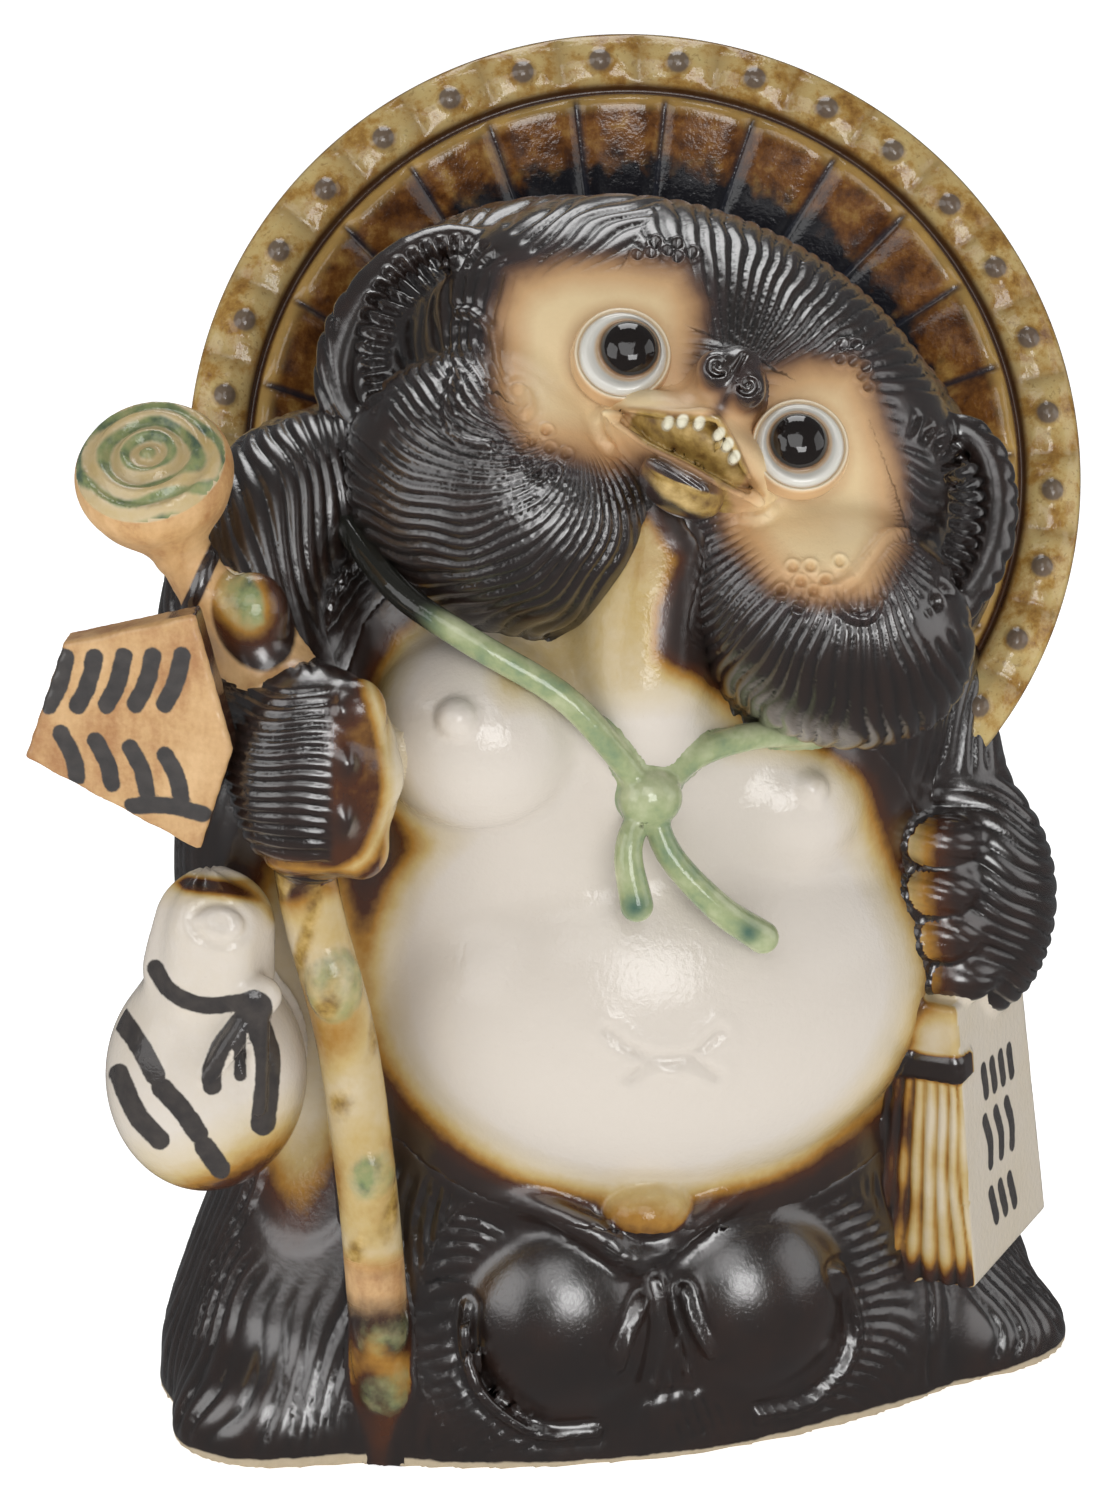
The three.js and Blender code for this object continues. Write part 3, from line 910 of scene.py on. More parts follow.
DOTS = [
    (-27.1, -23.5), (-28.8, -27.1), (-24.6, -26.6), (-21.1, -26.1), (-29.8, -32.6), (-27.1, -31.4),
    (-24.3, -32.8), (-21.8, -30.5), (-26, 25.7), (-21.6, 27.6), (-22.6, 25.1), (-18.1, 27.2),
    (-20.3, 24.7), (-25.6, 22.9), (-28, 21.1), (19.4, 24.3), (22.4, 25.8), (20.5, 20.9), (23.2, 21.9),
    (26.1, 22.2), (26.2, 20), (28.5, 18.5), (32.3, -25.2), (35.5, -23.4), (35.2, -27.3), (32.6, -30.9),
    (39.7, -24.7), (38.5, -27.9), (37.3, -32.5), (40.5, -19.6),
]
EAR_ROLLS = [
    [(-49.7, 8.4), (-58.1, 11.1), (-65.9, 10.3), (-72.1, 5.3), (-76.8, -3.5), (-77.4, -12.9),
     (-75.1, -22.9), (-72.1, -28.7), (-66, -36.5), (-59.7, -39.7)],
    [(38.6, 20.5), (52.1, 20.7), (61, 15.6), (65, 9.4), (68.3, -1.4), (68.2, -11.7), (63.6, -22.8)],
]
EAR_EDGES = [
    [(-52.4, 5.3), (-61.5, 0), (-65.2, -6.6), (-67.7, -14.1), (-65.5, -21.9), (-61.4, -30.1),
     (-59.1, -39.4)],
    [(40.1, 12), (47.3, 12.8), (54.3, 6.6), (57.9, 0.2), (59.7, -7.2), (59.9, -16.4), (60.2, -21.4)],
]
EAR_RIB_PITCH = 3.9
EYE_SOCKET = 10
MIDDLE_LINE = 2

# Each eye's middle, and how far its pupil looks aside and up
EYES = [((-20.7, -0.6), (0.8, 1.6)), ((21.6, -0.8), (-0.7, 0.6))]
EYE_PLACES = [place for place, _ in EYES]

# The hub, grooves and swirl of each fan of fur
LEFT_TUFT = ((-22.5, -21), 62, 0.0042)
RIGHT_TUFT = ((38, -8), 72, 0)
BROW_TUFT = ((4, 0), 72, 0)


def face_windows(a, b):
    """Distance inside the tan patches of the face."""
    left, right = (outline(a, b, patch) for patch in PATCHES)
    return -melted([left, right, ellipse(a, b, *BRIDGE_PATCH)], 4)


def tuft(a, b, hub, grooves, swirl):
    """Turns of a fan of grooves round a hub, bent more the further they go, and that distance."""
    x, y = a - hub[0], b - hub[1]
    far = np.hypot(x, y)
    return grooves * (np.arctan2(y, x) / TURN + swirl * far), far


HEAD_BOX = ((-90, -79, 147), (110, 65, 297))
HEAD_REACH = 2.6
HEAD_BACK = -52
OUT_OF_THE_WAY = 99


class TANUKI_OT_head(bpy.types.Operator):
    """Build the furry head with its ears, cheeks and face"""

    bl_idname = "tanuki.head"
    bl_label = "Head"

    def execute(self, context):
        depth = sizes().fur_depth / MM

        def field(p):
            own, hat = head_field(p), hat_disc(p)
            rest = np.minimum(hat, trunk_field(p))
            lip = np.hypot(own, hat - 1) - 2
            whole = melt(own, rest, 3)
            whole = melt(whole, np.where(own > -3, lip, OUT_OF_THE_WAY), 1.0)
            return np.maximum(whole, own - HEAD_REACH)

        def wanted(p):
            q = head_place(p)
            a, b = face_plane(q)
            patch = face_windows(a, b)
            dot = near_points(a, b, DOTS)
            fine = np.where(patch > 5, 1.8, 1.08)
            fine = np.where(dot < 2.6, 0.6, fine)
            return np.where(q[2] > HEAD_BACK, fine, 2.8)

        corners, faces = skin(field, wanted, HEAD_BOX, 2.0, 3)
        p = corners.T
        q = head_place(p)
        a, b = face_plane(q)
        seen = ease(q[2], -64, -54)
        window = face_windows(a, b)
        left, far_left = tuft(a, b, *LEFT_TUFT)
        right, far_right = tuft(a, b, *RIGHT_TUFT)
        right = right - 0.35 * np.maximum(30 - a, 0) ** 1.5 * 0.12
        brow, _ = tuft(a, b, *BROW_TUFT)
        upper = (b > 12) & (a > -30) | (b > 14 - 0.9 * (a - 30)) & (a > 30)
        turns = np.where(a < MIDDLE_LINE, left, right) + 0.3 * ripple(p, 16)
        turns = np.where(upper, brow + 0.2 * ripple(p, 16), turns)
        far = np.where(a < MIDDLE_LINE, far_left, far_right)
        border = np.minimum(np.abs(a - MIDDLE_LINE), 4) / 4 * ease(far, 5, 12)
        inset = np.where(upper, ease(-window, 0, 4), ease(-window, -4, 2))
        mask = seen * np.where(upper, 1, border) * inset * ease(hat_disc(p), 3, 8)
        channels = [-outline(a, b, [*roll, *reversed(edge)]) for roll, edge in zip(EAR_ROLLS, EAR_EDGES)]
        channel = np.maximum(*channels)
        (left_roll, left_run), (right_roll, right_run) = (track(a, b, roll) for roll in EAR_ROLLS)
        run = np.where(a < 0, left_run, right_run)
        mask = mask * (1 - ease(channel, -1.5, 0.5)) * ease(np.minimum(left_roll, right_roll), 2.5, 5)
        layers = combed(turns, mask)
        press = depth * layers["cut"]
        rib = (0.5 + 0.5 * np.cos(TURN * run / EAR_RIB_PITCH)) ** 1.5
        press = press + seen * ease(channel, 0.5, 3) * (1.8 - 2.2 * rib)
        line = near_lines(a, b, WHISKERS)
        press = press - seen * (1.1 * bell(line, 0.8) - 0.55 * bell(line - 1.8, 0.7))
        dot = near_points(a, b, DOTS)
        press = press + seen * (1.3 * bell(dot, 0.8) - 0.6 * bell(dot - 1.5, 0.5))
        corners = pressed(corners, faces, press)
        eye = near_points(a, b, EYE_PLACES) - EYE_SOCKET
        light = np.minimum(window, 5 + eye) - 1.2 * layers["cut"] * ease(-window, -6, -1)
        layers |= {"light": light, "warm": 1.0}
        piece("head", corners, faces, "fur_glaze", layers)
        return {"FINISHED"}


# The eyes: radii are in shares of the white's radius, heights in millimetres

EYE_BASE = 0.9
EYE_PROFILE = [
    (0.0, 4.3), (0.15, 4.22), (0.3, 3.9), (0.42, 3.3), (0.52, 2.5), (0.58, 1.7), (0.62, 0.9),
    (0.66, 0.3), (0.72, 0.55), (0.8, 1.15), (0.87, 1.3), (0.94, 0.95), (0.99, 0.2), (1.02, 0.25),
    (1.06, 0.6), (1.1, 0.3), (1.13, -1.0), (1.13, -5.0), (0.6, -6.0), (0.0, -6.0),
]
EYE_RINGS = 77
EYE_COLUMNS = 96
EYE_BLACK_SHARE = 0.62
EYE_RAMP_REACH = 1.2
EYE_BROWN = (0.22, 0.12, 0.06, 1)
EYE_SAND = (0.62, 0.46, 0.30, 1)
EYE_WHITE = (0.68, 0.66, 0.60, 1)
EYE_GROOVE = (0.52, 0.36, 0.20, 1)
EYE_RIM = (0.78, 0.68, 0.50, 1)
EYE_EDGE = (0.66, 0.42, 0.22, 1)
EYE_WAVE_DEPTH = 0.00005


def lathe_rings(profile, columns):
    """Corners and triangles of a closed lathe about local z, poles at both ends of the profile."""
    corners = [(0, 0, profile[0][1])]
    for radius, height in profile[1:-1]:
        for i in range(columns):
            angle = TURN * i / columns
            corners.append((radius * math.cos(angle), radius * math.sin(angle), height))
    corners.append((0, 0, profile[-1][1]))
    faces = []
    rings = len(profile) - 2
    for i in range(columns):
        j = (i + 1) % columns
        faces.append((0, 1 + i, 1 + j))
        for k in range(rings - 1):
            a, b = 1 + k * columns, 1 + (k + 1) * columns
            faces += [(a + i, b + i, b + j), (a + i, b + j, a + j)]
        last = 1 + (rings - 1) * columns
        faces.append((last + i, len(corners) - 1, last + j))
    return np.array(corners, float), np.array(faces)


def eye_glaze():
    def build(tree):
        g = glazes()
        radius = tree.layer("radius") + tree.noise(500, 2) * 0.02
        tones = [
            (0.0, g.black), (0.612, g.black), (0.635, EYE_BROWN), (0.70, EYE_SAND), (0.745, EYE_WHITE),
            (0.97, EYE_WHITE), (1.01, EYE_GROOVE), (1.06, EYE_RIM), (1.12, EYE_EDGE)]
        paint = tree.ramp(radius / EYE_RAMP_REACH, [(at / EYE_RAMP_REACH, tone) for at, tone in tones])
        rough = 0.06 + radius.ease(0.6, 0.75) * 0.1 + tree.noise(900, 2) * 0.03
        return {
            "Base Color": paint, "Roughness": rough, "Coat Weight": 0.6, "Coat Roughness": 0.03,
            "Normal": tree.bump(tree.noise(700, 2), EYE_WAVE_DEPTH)}
    return finish("eye_glaze", build)


class TANUKI_OT_eyes(bpy.types.Operator):
    """Build the two eyes as domed rings"""

    bl_idname = "tanuki.eyes"
    bl_label = "Eyes"

    def execute(self, context):
        size = sizes().eye_radius / MM
        share = sizes().pupil_radius / MM / size / EYE_BLACK_SHARE
        stations = np.linspace(0, len(EYE_PROFILE) - 1, EYE_RINGS)
        radii, heights = (
            hermite(stations, range(len(EYE_PROFILE)), values) for values in zip(*EYE_PROFILE))
        solid, faces = lathe_rings(list(zip(np.maximum(radii, 0), heights)), EYE_COLUMNS)
        radius = np.hypot(solid[:, 0], solid[:, 1])
        inner = 1 - ease(radius, 0.6, 0.95)
        all_corners, all_faces = [], []
        for (a, b), (shift_a, shift_b) in EYES:
            scale = size * (1 + (share - 1) * inner)
            q = solid * np.stack([scale, scale, np.ones(len(solid))], 1)
            q[:, 2] += EYE_BASE
            q[:, 0] += a + shift_a * inner + FACE_LEAN[0] * EYE_BASE
            q[:, 1] += b + shift_b * inner - FACE_LEAN[1] * EYE_BASE
            all_faces.append(faces + len(solid) * len(all_faces))
            all_corners.append(q @ HEAD_AXES + np.array(EYES_MIDDLE))
        layers = {"radius": np.tile(radius, len(EYES))}
        piece("eyes", np.vstack(all_corners), np.vstack(all_faces), "fur_glaze", layers, eye_glaze())
        return {"FINISHED"}


# The muzzle

MOUTH = [
    (-17, -12), (-10, -9.8), (-5, -8.3), (0, -6), (3.5, -4.5), (6, -5.8), (10, -8.5), (14, -11.5),
    (19.5, -14), (14, -16), (8, -16.2), (0, -16), (-7, -15.8), (-13, -14.3),
]
MOUTH_CORNERS = [(-15, -12.6), (17, -14.2)]
TEETH = [-5.2, -2.7, 0.6, 5.3, 7.9, 10.4]
TOOTH_RADII = (1.1, 1.5, 1.3)
TOOTH_MARK = (1.2, 1.55)
NOSTRILS = [(-1.3, 3.0, 1), (6.6, 2.2, -1)]
COIL_POINTS = 8
COIL_TURN = 7.5
COIL_RADII = (0.8, 0.6)
NOSE = ((2.6, 5, 4), (5.5, 6.5, 7))
NOSE_WINGS = [((x, y, 8), (3.9, 4.2, 4.2)) for x, y, _ in NOSTRILS]
CHIN = ((3.5, -20.5, -1), (9.5, 6, 7.5))
UPPER_LIP = (
    [(-18, -14, 0), (-9, -12, 6), (-3, -9.8, 8.6), (2.5, -7.2, 9.6), (8, -9.8, 8.6), (13, -13, 6),
     (20, -16, 0)],
    (0.8, 1.2, 1.4, 1.6, 1.4, 1.2, 0.8))
LOWER_LIP = (
    [(-16, -15, 0), (-7, -17.6, 5.5), (3, -18.6, 7.6), (12, -18, 5.5), (19, -16.5, 0)],
    (0.6, 1.0, 1.2, 1.0, 0.6))
CHIN_MARK = ((5.5, -20.5), (10, 4.5))
CHIN_LEAF = ((2.2, -21.0, 5.6), (7.6, 2.2, 2.6))
LEAF_MARK = ((2.3, -18.6), (8, 2.2))
LEAF_VEIN = ([(-3, -20.4, 7.4), (2, -21.2, 8.6), (8, -21.6, 7)], (0.3, 0.55, 0.3))
PARTING = ([(2.7, 8, 10), (2.7, 3, 11.2), (2.8, -2, 10.6), (2.9, -6, 9.3)], (0.5, 0.7, 0.6))
NOSE_MARKS = [
    ((-0.8, 6.2), (5.2, 6.4)), ((7.2, 5.2), (5.0, 6.2)), ((3.4, 14), (3.4, 9)), ((3, 0.5), (1.6, 5)),
]


def muzzle_skin(q):
    whole = melt(muzzle_base(q), egg(q, *NOSE), 4)
    whole = with_eggs(whole, q, NOSE_WINGS, 2)
    return melt(whole, egg(q, *CHIN), 3)


def tooth_place(x):
    """A tooth's height on the face, and how far out of it the tooth sits."""
    drop = 0.053 * (x - 2.6) ** 2
    return -6.9 - drop, 8.4 - 0.75 * drop


def nostril_coil(x, y, side):
    """Points of a coil that widens from a nostril's middle and sinks as it goes."""
    coil = []
    for t in np.linspace(0, 1, COIL_POINTS):
        wide, turned = 0.5 + 2.2 * t, COIL_TURN * t
        coil.append((x + side * wide * math.cos(turned), y + wide * math.sin(turned), 12.2 - 2.2 * t))
    return coil


def muzzle_field(q):
    a, b = face_plane(q)
    base = muzzle_skin(q)
    mouth = outline(a, b, MOUTH)
    whole = base
    for line, radii in (UPPER_LIP, LOWER_LIP):
        whole = melt(whole, limb(q, line, radii, 3), 1.5)
    whole = carve(whole, np.maximum(mouth + 0.8, -(base + 2.4)), 1.5)
    whole = carve(melt(whole, egg(q, *CHIN_LEAF), 0.8), limb(q, *LEAF_VEIN, 3), 0.5)
    for x in TEETH:
        b_tooth, out = tooth_place(x)
        whole = melt(whole, egg(q, (x + 0.5, b_tooth - FACE_LEAN[1] * out, out), TOOTH_RADII), 0.3)
    for nostril in NOSTRILS:
        whole = carve(whole, limb(q, nostril_coil(*nostril), COIL_RADII, 3), 0.5)
    return carve(whole, limb(q, *PARTING, 3), 0.8)


MUZZLE_BOX = ((-5, -90, 205), (50, -30, 262))


class TANUKI_OT_muzzle(bpy.types.Operator):
    """Build the muzzle with its nose, mouth and teeth"""

    bl_idname = "tanuki.muzzle"
    bl_label = "Muzzle"

    def execute(self, context):
        def field(p):
            q = head_place(p)
            own = muzzle_field(q)
            return fillet(own, head_field(p), 1.5, 1.2)

        def wanted(p):
            return np.where(head_place(p)[2] > 3, 0.45, 1.0)

        corners, faces = skin(field, wanted, MUZZLE_BOX, 1.2, 2)
        a, b = face_plane(head_place(corners.T))
        mouth = -outline(a, b, MOUTH)
        nose = -melted([ellipse(a, b, *mark) for mark in NOSE_MARKS], 2)
        chin = -ellipse(a, b, *CHIN_MARK)
        teeth = np.maximum.reduce([-ellipse(a, b, (x, tooth_place(x)[0]), TOOTH_MARK) for x in TEETH])
        teeth = np.maximum(teeth, ABSENT)
        leaf = -ellipse(a, b, *LEAF_MARK)
        corner = near_points(a, b, MOUTH_CORNERS)
        # Painted shade darkens the mouth's corners and the line along its edge; the lower lip's leaf adds
        # its own dark brown glaze
        painted_shade_and_lip_brown = np.maximum.reduce([bell(corner, 3.0), bell(mouth, 0.9), ease(leaf, -1, 1)])
        light = np.minimum(face_windows(a, b), -3.0 * nose + 1.5) - 5.0 * painted_shade_and_lip_brown
        gold = np.maximum(mouth + 0.4, chin) - 5 * bell(corner, 2.5) - 5 * ease(leaf, -0.8, 0.8)
        # The painted shade of the mouth and the lip's dark brown also go into the groove-bed layer
        layers = {"light": light, "warm": 1.0, "gold": gold, "white": teeth, "cut": painted_shade_and_lip_brown * 0.8}
        piece("muzzle", corners, faces, "fur_glaze", layers)
        return {"FINISHED"}


# The body

def trunk_field(p):
    """Distance to the trunk, whose rings are a height, a middle and two radii."""
    rings = list(zip(*TRUNK_RINGS))
    heights = rings[0]
    z = np.clip(p[2], heights[0], heights[-1])
    x, y, wide, deep = (hermite(z, heights, values) for values in rings[1:])
    q = np.stack([(p[0] - x) / wide, (p[1] - y) / deep])
    near = length(q)
    slope = length(np.stack([q[0] / wide, q[1] / deep]))
    side = near * (near - 1) / np.maximum(slope, 1e-6)
    return np.maximum(side, p[2] - heights[-1])


def torso_field(p, teats=TEATS):
    """Trunk, flanks, belly, breasts, throat, pouch roll and button as one skin."""
    whole = with_eggs(trunk_field(p), p, SIDES, 8)
    whole = with_eggs(whole, p, [BELLY, *BREASTS], 3)
    whole = melt(whole, limb(p, *THROAT), 8)
    whole = melt(whole, limb(p, *ROLL), 3.5)
    whole = with_eggs(whole, p, teats, 1.5)
    return melt(whole, egg(p, *BUTTON), 2)


def body_field(p):
    pouch = melted([egg(p, centre, radii) for centre, radii in LOBES], 4)
    whole = melt(torso_field(p, ()), pouch, 2.5)
    whole = with_limbs(whole, p, POUCH_FOLDS, FOLD_RADII, 1.2, 4)
    whole = with_eggs(whole, p, [*FEET, TAIL], 6)
    return np.maximum(whole, -p[2])


# Places on the front below are on the picture plane

THROAT_WINDOW = [
    (19.5, 50), (24.5, 42), (21.5, 31), (20.5, 20), (24, 11), (33, 3), (30, -12), (-10, -12), (-34, 24),
    (-19.5, 24.5), (0.5, 30.2), (9.5, 38.6),
]
CREAM_PATCHES = [
    ((19.5, -50.5), (61.5, 49)), ((-16, 5), (25, 30)), ((46, -16), (24, 19), -12),
    ((14, -4), (30, 22)), ((-57, -58), (13, 34)),
]


def cream_window(p):
    """Distance inside the cream front, as it shows in the picture plane."""
    u, v = shown(p)
    *patches, flank = (ellipse(u, v, *patch) for patch in CREAM_PATCHES)
    window = melted([*patches, outline(u, v, THROAT_WINDOW), flank], 5)
    return np.where(p[1] < -5, -window, -20)


FRONT_MARGIN = 8
FOLD_LINES = [
    [(-20.2, -123.4), (-20.5, -131.9), (-17.8, -141.8), (-10.7, -148.7), (-2.9, -152.1), (8.4, -151.5)],
    [(62.3, -115.6), (65.8, -124.8), (66.2, -131.9), (62.3, -139.6), (55.2, -145.6), (44.6, -147.8)],
]
PRONGS = [
    [(22.6, -118), (23.5, -129), (21.2, -141.4)], [(24.1, -127), (24.8, -140.3)],
    [(24.1, -127), (29.3, -140)], [(19, -122), (15.5, -131), (13.5, -137)],
    [(28, -120), (30.5, -128), (34, -134)],
]
POUCH_MIDDLE = (24, -128)
POUCH_HUB = (24, -118)
POUCH_GROOVES = 96
TRUNK_AXIS = (13, 9)
TRUNK_GROOVES = 130
ARM_GAP = ((-58, -60), (10, 36))
BODY_BOX = ((-110, -82, -4), (132, 86, 234))


class TANUKI_OT_body(bpy.types.Operator):
    """Build the fur body with its flanks, pouch, feet and tail"""

    bl_idname = "tanuki.body"
    bl_label = "Body"

    def execute(self, context):
        depth = sizes().fur_depth / MM

        def wanted(p):
            front = (p[1] < 20) & (p[2] < 80)
            u, v = shown(p)
            fine = (p[1] < -8) & (np.abs(u - 23) < 52) & (v < -95)
            return np.where(fine, 0.95, np.where(front, 1.25, 3.2))

        corners, faces = skin(body_field, wanted, BODY_BOX, 2.4, 1)
        p = corners.T
        u, v = shown(p)
        window = cream_window(p)
        lobes = near_eggs(p, LOBES)
        round_body = np.arctan2(p[1] - TRUNK_AXIS[1], p[0] - TRUNK_AXIS[0]) / TURN * TRUNK_GROOVES
        off = np.hypot((u - POUCH_MIDDLE[0]) / 1.25, v - POUCH_MIDDLE[1])
        near_pouch = (1 - ease(off, 38, 52)) * ease(-p[1], 20, 35)
        fan = np.arctan2(v - POUCH_HUB[1], u - POUCH_HUB[0]) / TURN * POUCH_GROOVES
        turns = np.where(near_pouch > 0.5, fan, round_body) + 0.9 * ripple(p, 34)
        mask = ease(lobes, 1.5, 4) * ease(p[2], 1, 5) * (1 - bell(near_pouch - 0.5, 0.15))
        mask = mask * (1 - ease(window, -13, -9)) * (0.7 + 0.3 * ripple(p, 18, 8))
        mask = mask * (1 - 0.6 * ease(p[1], 10, 40))
        layers = combed(turns, np.clip(mask, 0, 1))
        sunk = 0.8 * ease(window, -FRONT_MARGIN, -FRONT_MARGIN + 2) + 1.5 * ease(window, -2, 5)
        fold = near_lines(u, v, FOLD_LINES)
        prong = near_lines(u, v, PRONGS)
        raised = 1.3 * bell(fold, 1.0) - 0.6 * bell(fold - 2.2, 1.0)
        raised = raised + 1.6 * bell(prong, 1.0) - 0.8 * bell(prong - 2.4, 1.0)
        raised = raised * ease(-p[1], 8, 14)
        press = depth * 1.5 * layers["cut"] * (1 - bell(np.minimum(fold, prong), 3)) + sunk - raised
        corners = pressed(corners, faces, press)
        corners[:, 2] = np.maximum(corners[:, 2], 0)
        rim = 1.8 + 0.8 * ripple(p, 60, 4) - p[2]
        gap = np.where(p[1] < 5, -ellipse(u, v, *ARM_GAP), ABSENT)
        light = np.maximum(np.minimum(window, -FRONT_MARGIN), np.minimum(gap, 3))
        layers |= {"light": light, "bare": rim, "peel": 1 - ease(lobes, 0, 1.5)}
        piece("body", corners, faces, "fur_glaze", layers)
        return {"FINISHED"}


NAVEL = [
    [(10.9, -62.4), (15, -65.6), (20, -68), (24.8, -68.6), (30.4, -67.4), (36.1, -62.4)],
    [(15.5, -73), (20.5, -69.6)], [(30.4, -69.2), (35.3, -72.4)],
]
FRONT_FROM = -8
NAVEL_MIDDLE = (24, -68)
NAVEL_PIT = (24.8, -71.6)
FRONT_BOX = ((-60, -79.3, 40), (100, 6.7, 232))


class TANUKI_OT_front(bpy.types.Operator):
    """Build the cream belly, chest and throat, with the button below"""

    bl_idname = "tanuki.front"
    bl_label = "Belly and chest"

    def execute(self, context):
        def field(p):
            window = np.minimum(cream_window(p), FRONT_FROM - p[1])
            return np.maximum(torso_field(p), -(window + FRONT_MARGIN))

        def wanted(p):
            u, v = shown(p)
            near = np.hypot(u - NAVEL_MIDDLE[0], (v - NAVEL_MIDDLE[1]) * 2)
            return np.where(torso_field(p) > -1, np.where(near < 18, 0.7, 1.4), 5.0)

        corners, faces = skin(field, wanted, FRONT_BOX, 2.4, 1)
        p = corners.T
        window = cream_window(p)
        u, v = shown(p)
        crease = near_lines(u, v, NAVEL)
        press = bell(crease, 0.9) - 0.3 * bell(crease - 2.8, 1.6)
        press = press - 0.9 * bell(np.hypot((u - NAVEL_PIT[0]) / 2.4, v - NAVEL_PIT[1]), 1.5)
        press = np.where(torso_field(p) > -1, press, 0)
        corners = pressed(corners, faces, press)
        neck = 0.5 + 0.06 * np.maximum(44 - v, 0) + 14 * ease(16 - v, 0, 26)
        window = np.minimum(window, neck + 0.9 * np.maximum(-12 - u, 0))
        knob = ease(-egg(p, *BUTTON), -1.6, 0.2)
        window = (1 - knob) * window + knob * (1.4 - 0.32 * np.maximum(-98 - v, 0))
        piece("belly_and_chest", corners, faces, "cream_glaze", {"light": window})
        return {"FINISHED"}


# Arms

STAFF_ARM = ([(-46, 8, 214), (-62, 2, 210), (-74, -12, 192), (-70, -32, 172)], (18, 18, 18, 15))
FIST = ((-66, -43, 166.5), (18.5, 16, 24))
KNUCKLES = [(place, (6, 6, 7)) for place in [(-58, -50, 182), (-54.5, -50, 167), (-57.5, -49, 151)]]
KNUCKLE_BUMPS = [(-48, 9), (-47, -3), (-47.5, -16)]
FIST_EDGE = [
    (-42.2, 16), (-38.4, 2.7), (-37.4, -9.8), (-40, -19.3), (-45.7, -26), (-61.7, -26.2), (-77.3, -24.4),
]
FIST_PALE_FROM = -38.4
BOOK_ARM = ([(58, 8, 192), (76, 1, 176), (84, -6, 150), (90, -16, 122)], (17, 17, 16, 14))
PAW = ((93, -20, 112), (17.5, 17.5, 28))
FINGER_PLACES = [(80, -31, 131), (79, -34, 121), (80, -35, 110.5), (84, -35, 100)]
FINGERS = [(place, (8.5, 6, 5.8)) for place in FINGER_PLACES]
PAW_PALE_UP_TO = 80.8
FINGER_PADS = [(place, (8, 6, 5)) for place in FINGER_PLACES]
ARM_BOXES = {
    "staff_arm": ((-100, -65, 135), (-20, 35, 240)),
    "book_arm": ((35, -48, 75), (118, 32, 215)),
}


def staff_arm_field(p):
    return with_eggs(melt(limb(p, *STAFF_ARM), egg(p, *FIST), 6), p, KNUCKLES, 2.5)


def book_arm_field(p):
    return with_eggs(melt(limb(p, *BOOK_ARM), egg(p, *PAW), 6), p, FINGERS, 3.0)


def staff_arm_marks(p, u, v):
    """Turns of the grooves, share of the hand, distance to a knuckle, light, bare clay and rise."""
    hand = 1 - ease(p[2], 184, 194)
    turns = np.where(hand > 0.5, (v + 0.1 * u) / 2.6, (u * 0.85 + v * 0.25) / 3.0)
    bump = np.minimum.reduce([np.hypot(u - x, (v - y) * 0.75) for x, y in KNUCKLE_BUMPS])
    bare = ease(u, -54, -49) * hand
    light = 1.5 - 1.3 * stroke(u, v, FIST_EDGE) - 2.2 * ease(-u, 44, 50)
    light = np.maximum(light, ABSENT + bare * (6.9 - 2.4 * bell(bump, 2.8)))
    light = np.where(hand > 0.5, np.maximum(light, np.minimum((u - FIST_PALE_FROM) * 1.2, 3)), light)
    return turns, hand, near_eggs(p, KNUCKLES), light, bare, 1.7 * bell(bump, 2.3) * hand


def book_arm_marks(p, u, v):
    """The same for the other arm, whose hand has no bare clay and no raised bumps."""
    hand = 1 - ease(p[2], 136, 150)
    turns = np.where(hand > 0.5, (v * 0.9 + 0.35 * u) / 3.2, (u * 0.9 - v * 0.25) / 3.2)
    finger = near_eggs(p, FINGER_PADS)
    light = np.where(finger < 1, (PAW_PALE_UP_TO - u) * 0.55, ABSENT)
    return turns, hand, finger, light, 0, 0


class TANUKI_OT_arms(bpy.types.Operator):
    """Build the arm that holds the staff and the arm that holds the ledger"""

    bl_idname = "tanuki.arms"
    bl_label = "Arms"

    def execute(self, context):
        depth = sizes().fur_depth / MM
        for name, own, marks in [
            ("staff_arm", staff_arm_field, staff_arm_marks),
            ("book_arm", book_arm_field, book_arm_marks),
        ]:
            def field(p):
                return fillet(own(p), torso_field(p), 3, 2.4)

            corners, faces = skin(field, finer_in_front(5, 0.95, 3.0), ARM_BOXES[name], 2.0, 2)
            p = corners.T
            turns, hand, knob, light, bare, raised = marks(p, *shown(p))
            turns = turns + 0.5 * ripple(p, 26)
            mask = (1 - bell(hand - 0.5, 0.2)) * (0.4 + 0.6 * ease(knob, 0.3, 3.5)) * (1 - bare)
            mask = mask * (0.8 + 0.2 * ripple(p, 15, 6)) * (1 - 0.7 * ease(p[1], 8, 20))
            layers = combed(turns, np.clip(mask, 0, 1))
            corners = pressed(corners, faces, depth * 1.3 * layers["cut"] - raised)
            layers["light"] = light
            piece(name, corners, faces, "fur_glaze", layers)
        return {"FINISHED"}


# Staff, tag, bag and ledger

POLE = [
    (-70, -38, 168), (-66.5, -40, 136), (-59, -41, 102), (-54, -40, 58), (-50, -34, 6), (-50, -33, -6),
]
POLE_FOOT_RADIUS = 8.6
STEM = ([(-70, -34, 182), (-79, -29, 196), (-88, -24, 209), (-94, -20, 224)], (8, 7, 5.5, 9))
LOG_PLACE = (-94, -20, 228)
LOG_AXES = axes(-30, 55)
LOG_STATIONS = (-16, -12, -4, 3, 8)
LOG_RADII = (1, 10, 16, 16.5, 13.5)
RING_TURN = 1.25
STAFF_KNOTS = [
    ((-76, -31, 199), (8, 7, 9)), ((-63, -46, 119), (6, 4, 8)), ((-55, -45, 74), (5, 4, 6)),
    ((-52, -41, 34), (5.5, 4, 6.5)), ((-51, -40, 19), (5, 4, 6)),
]


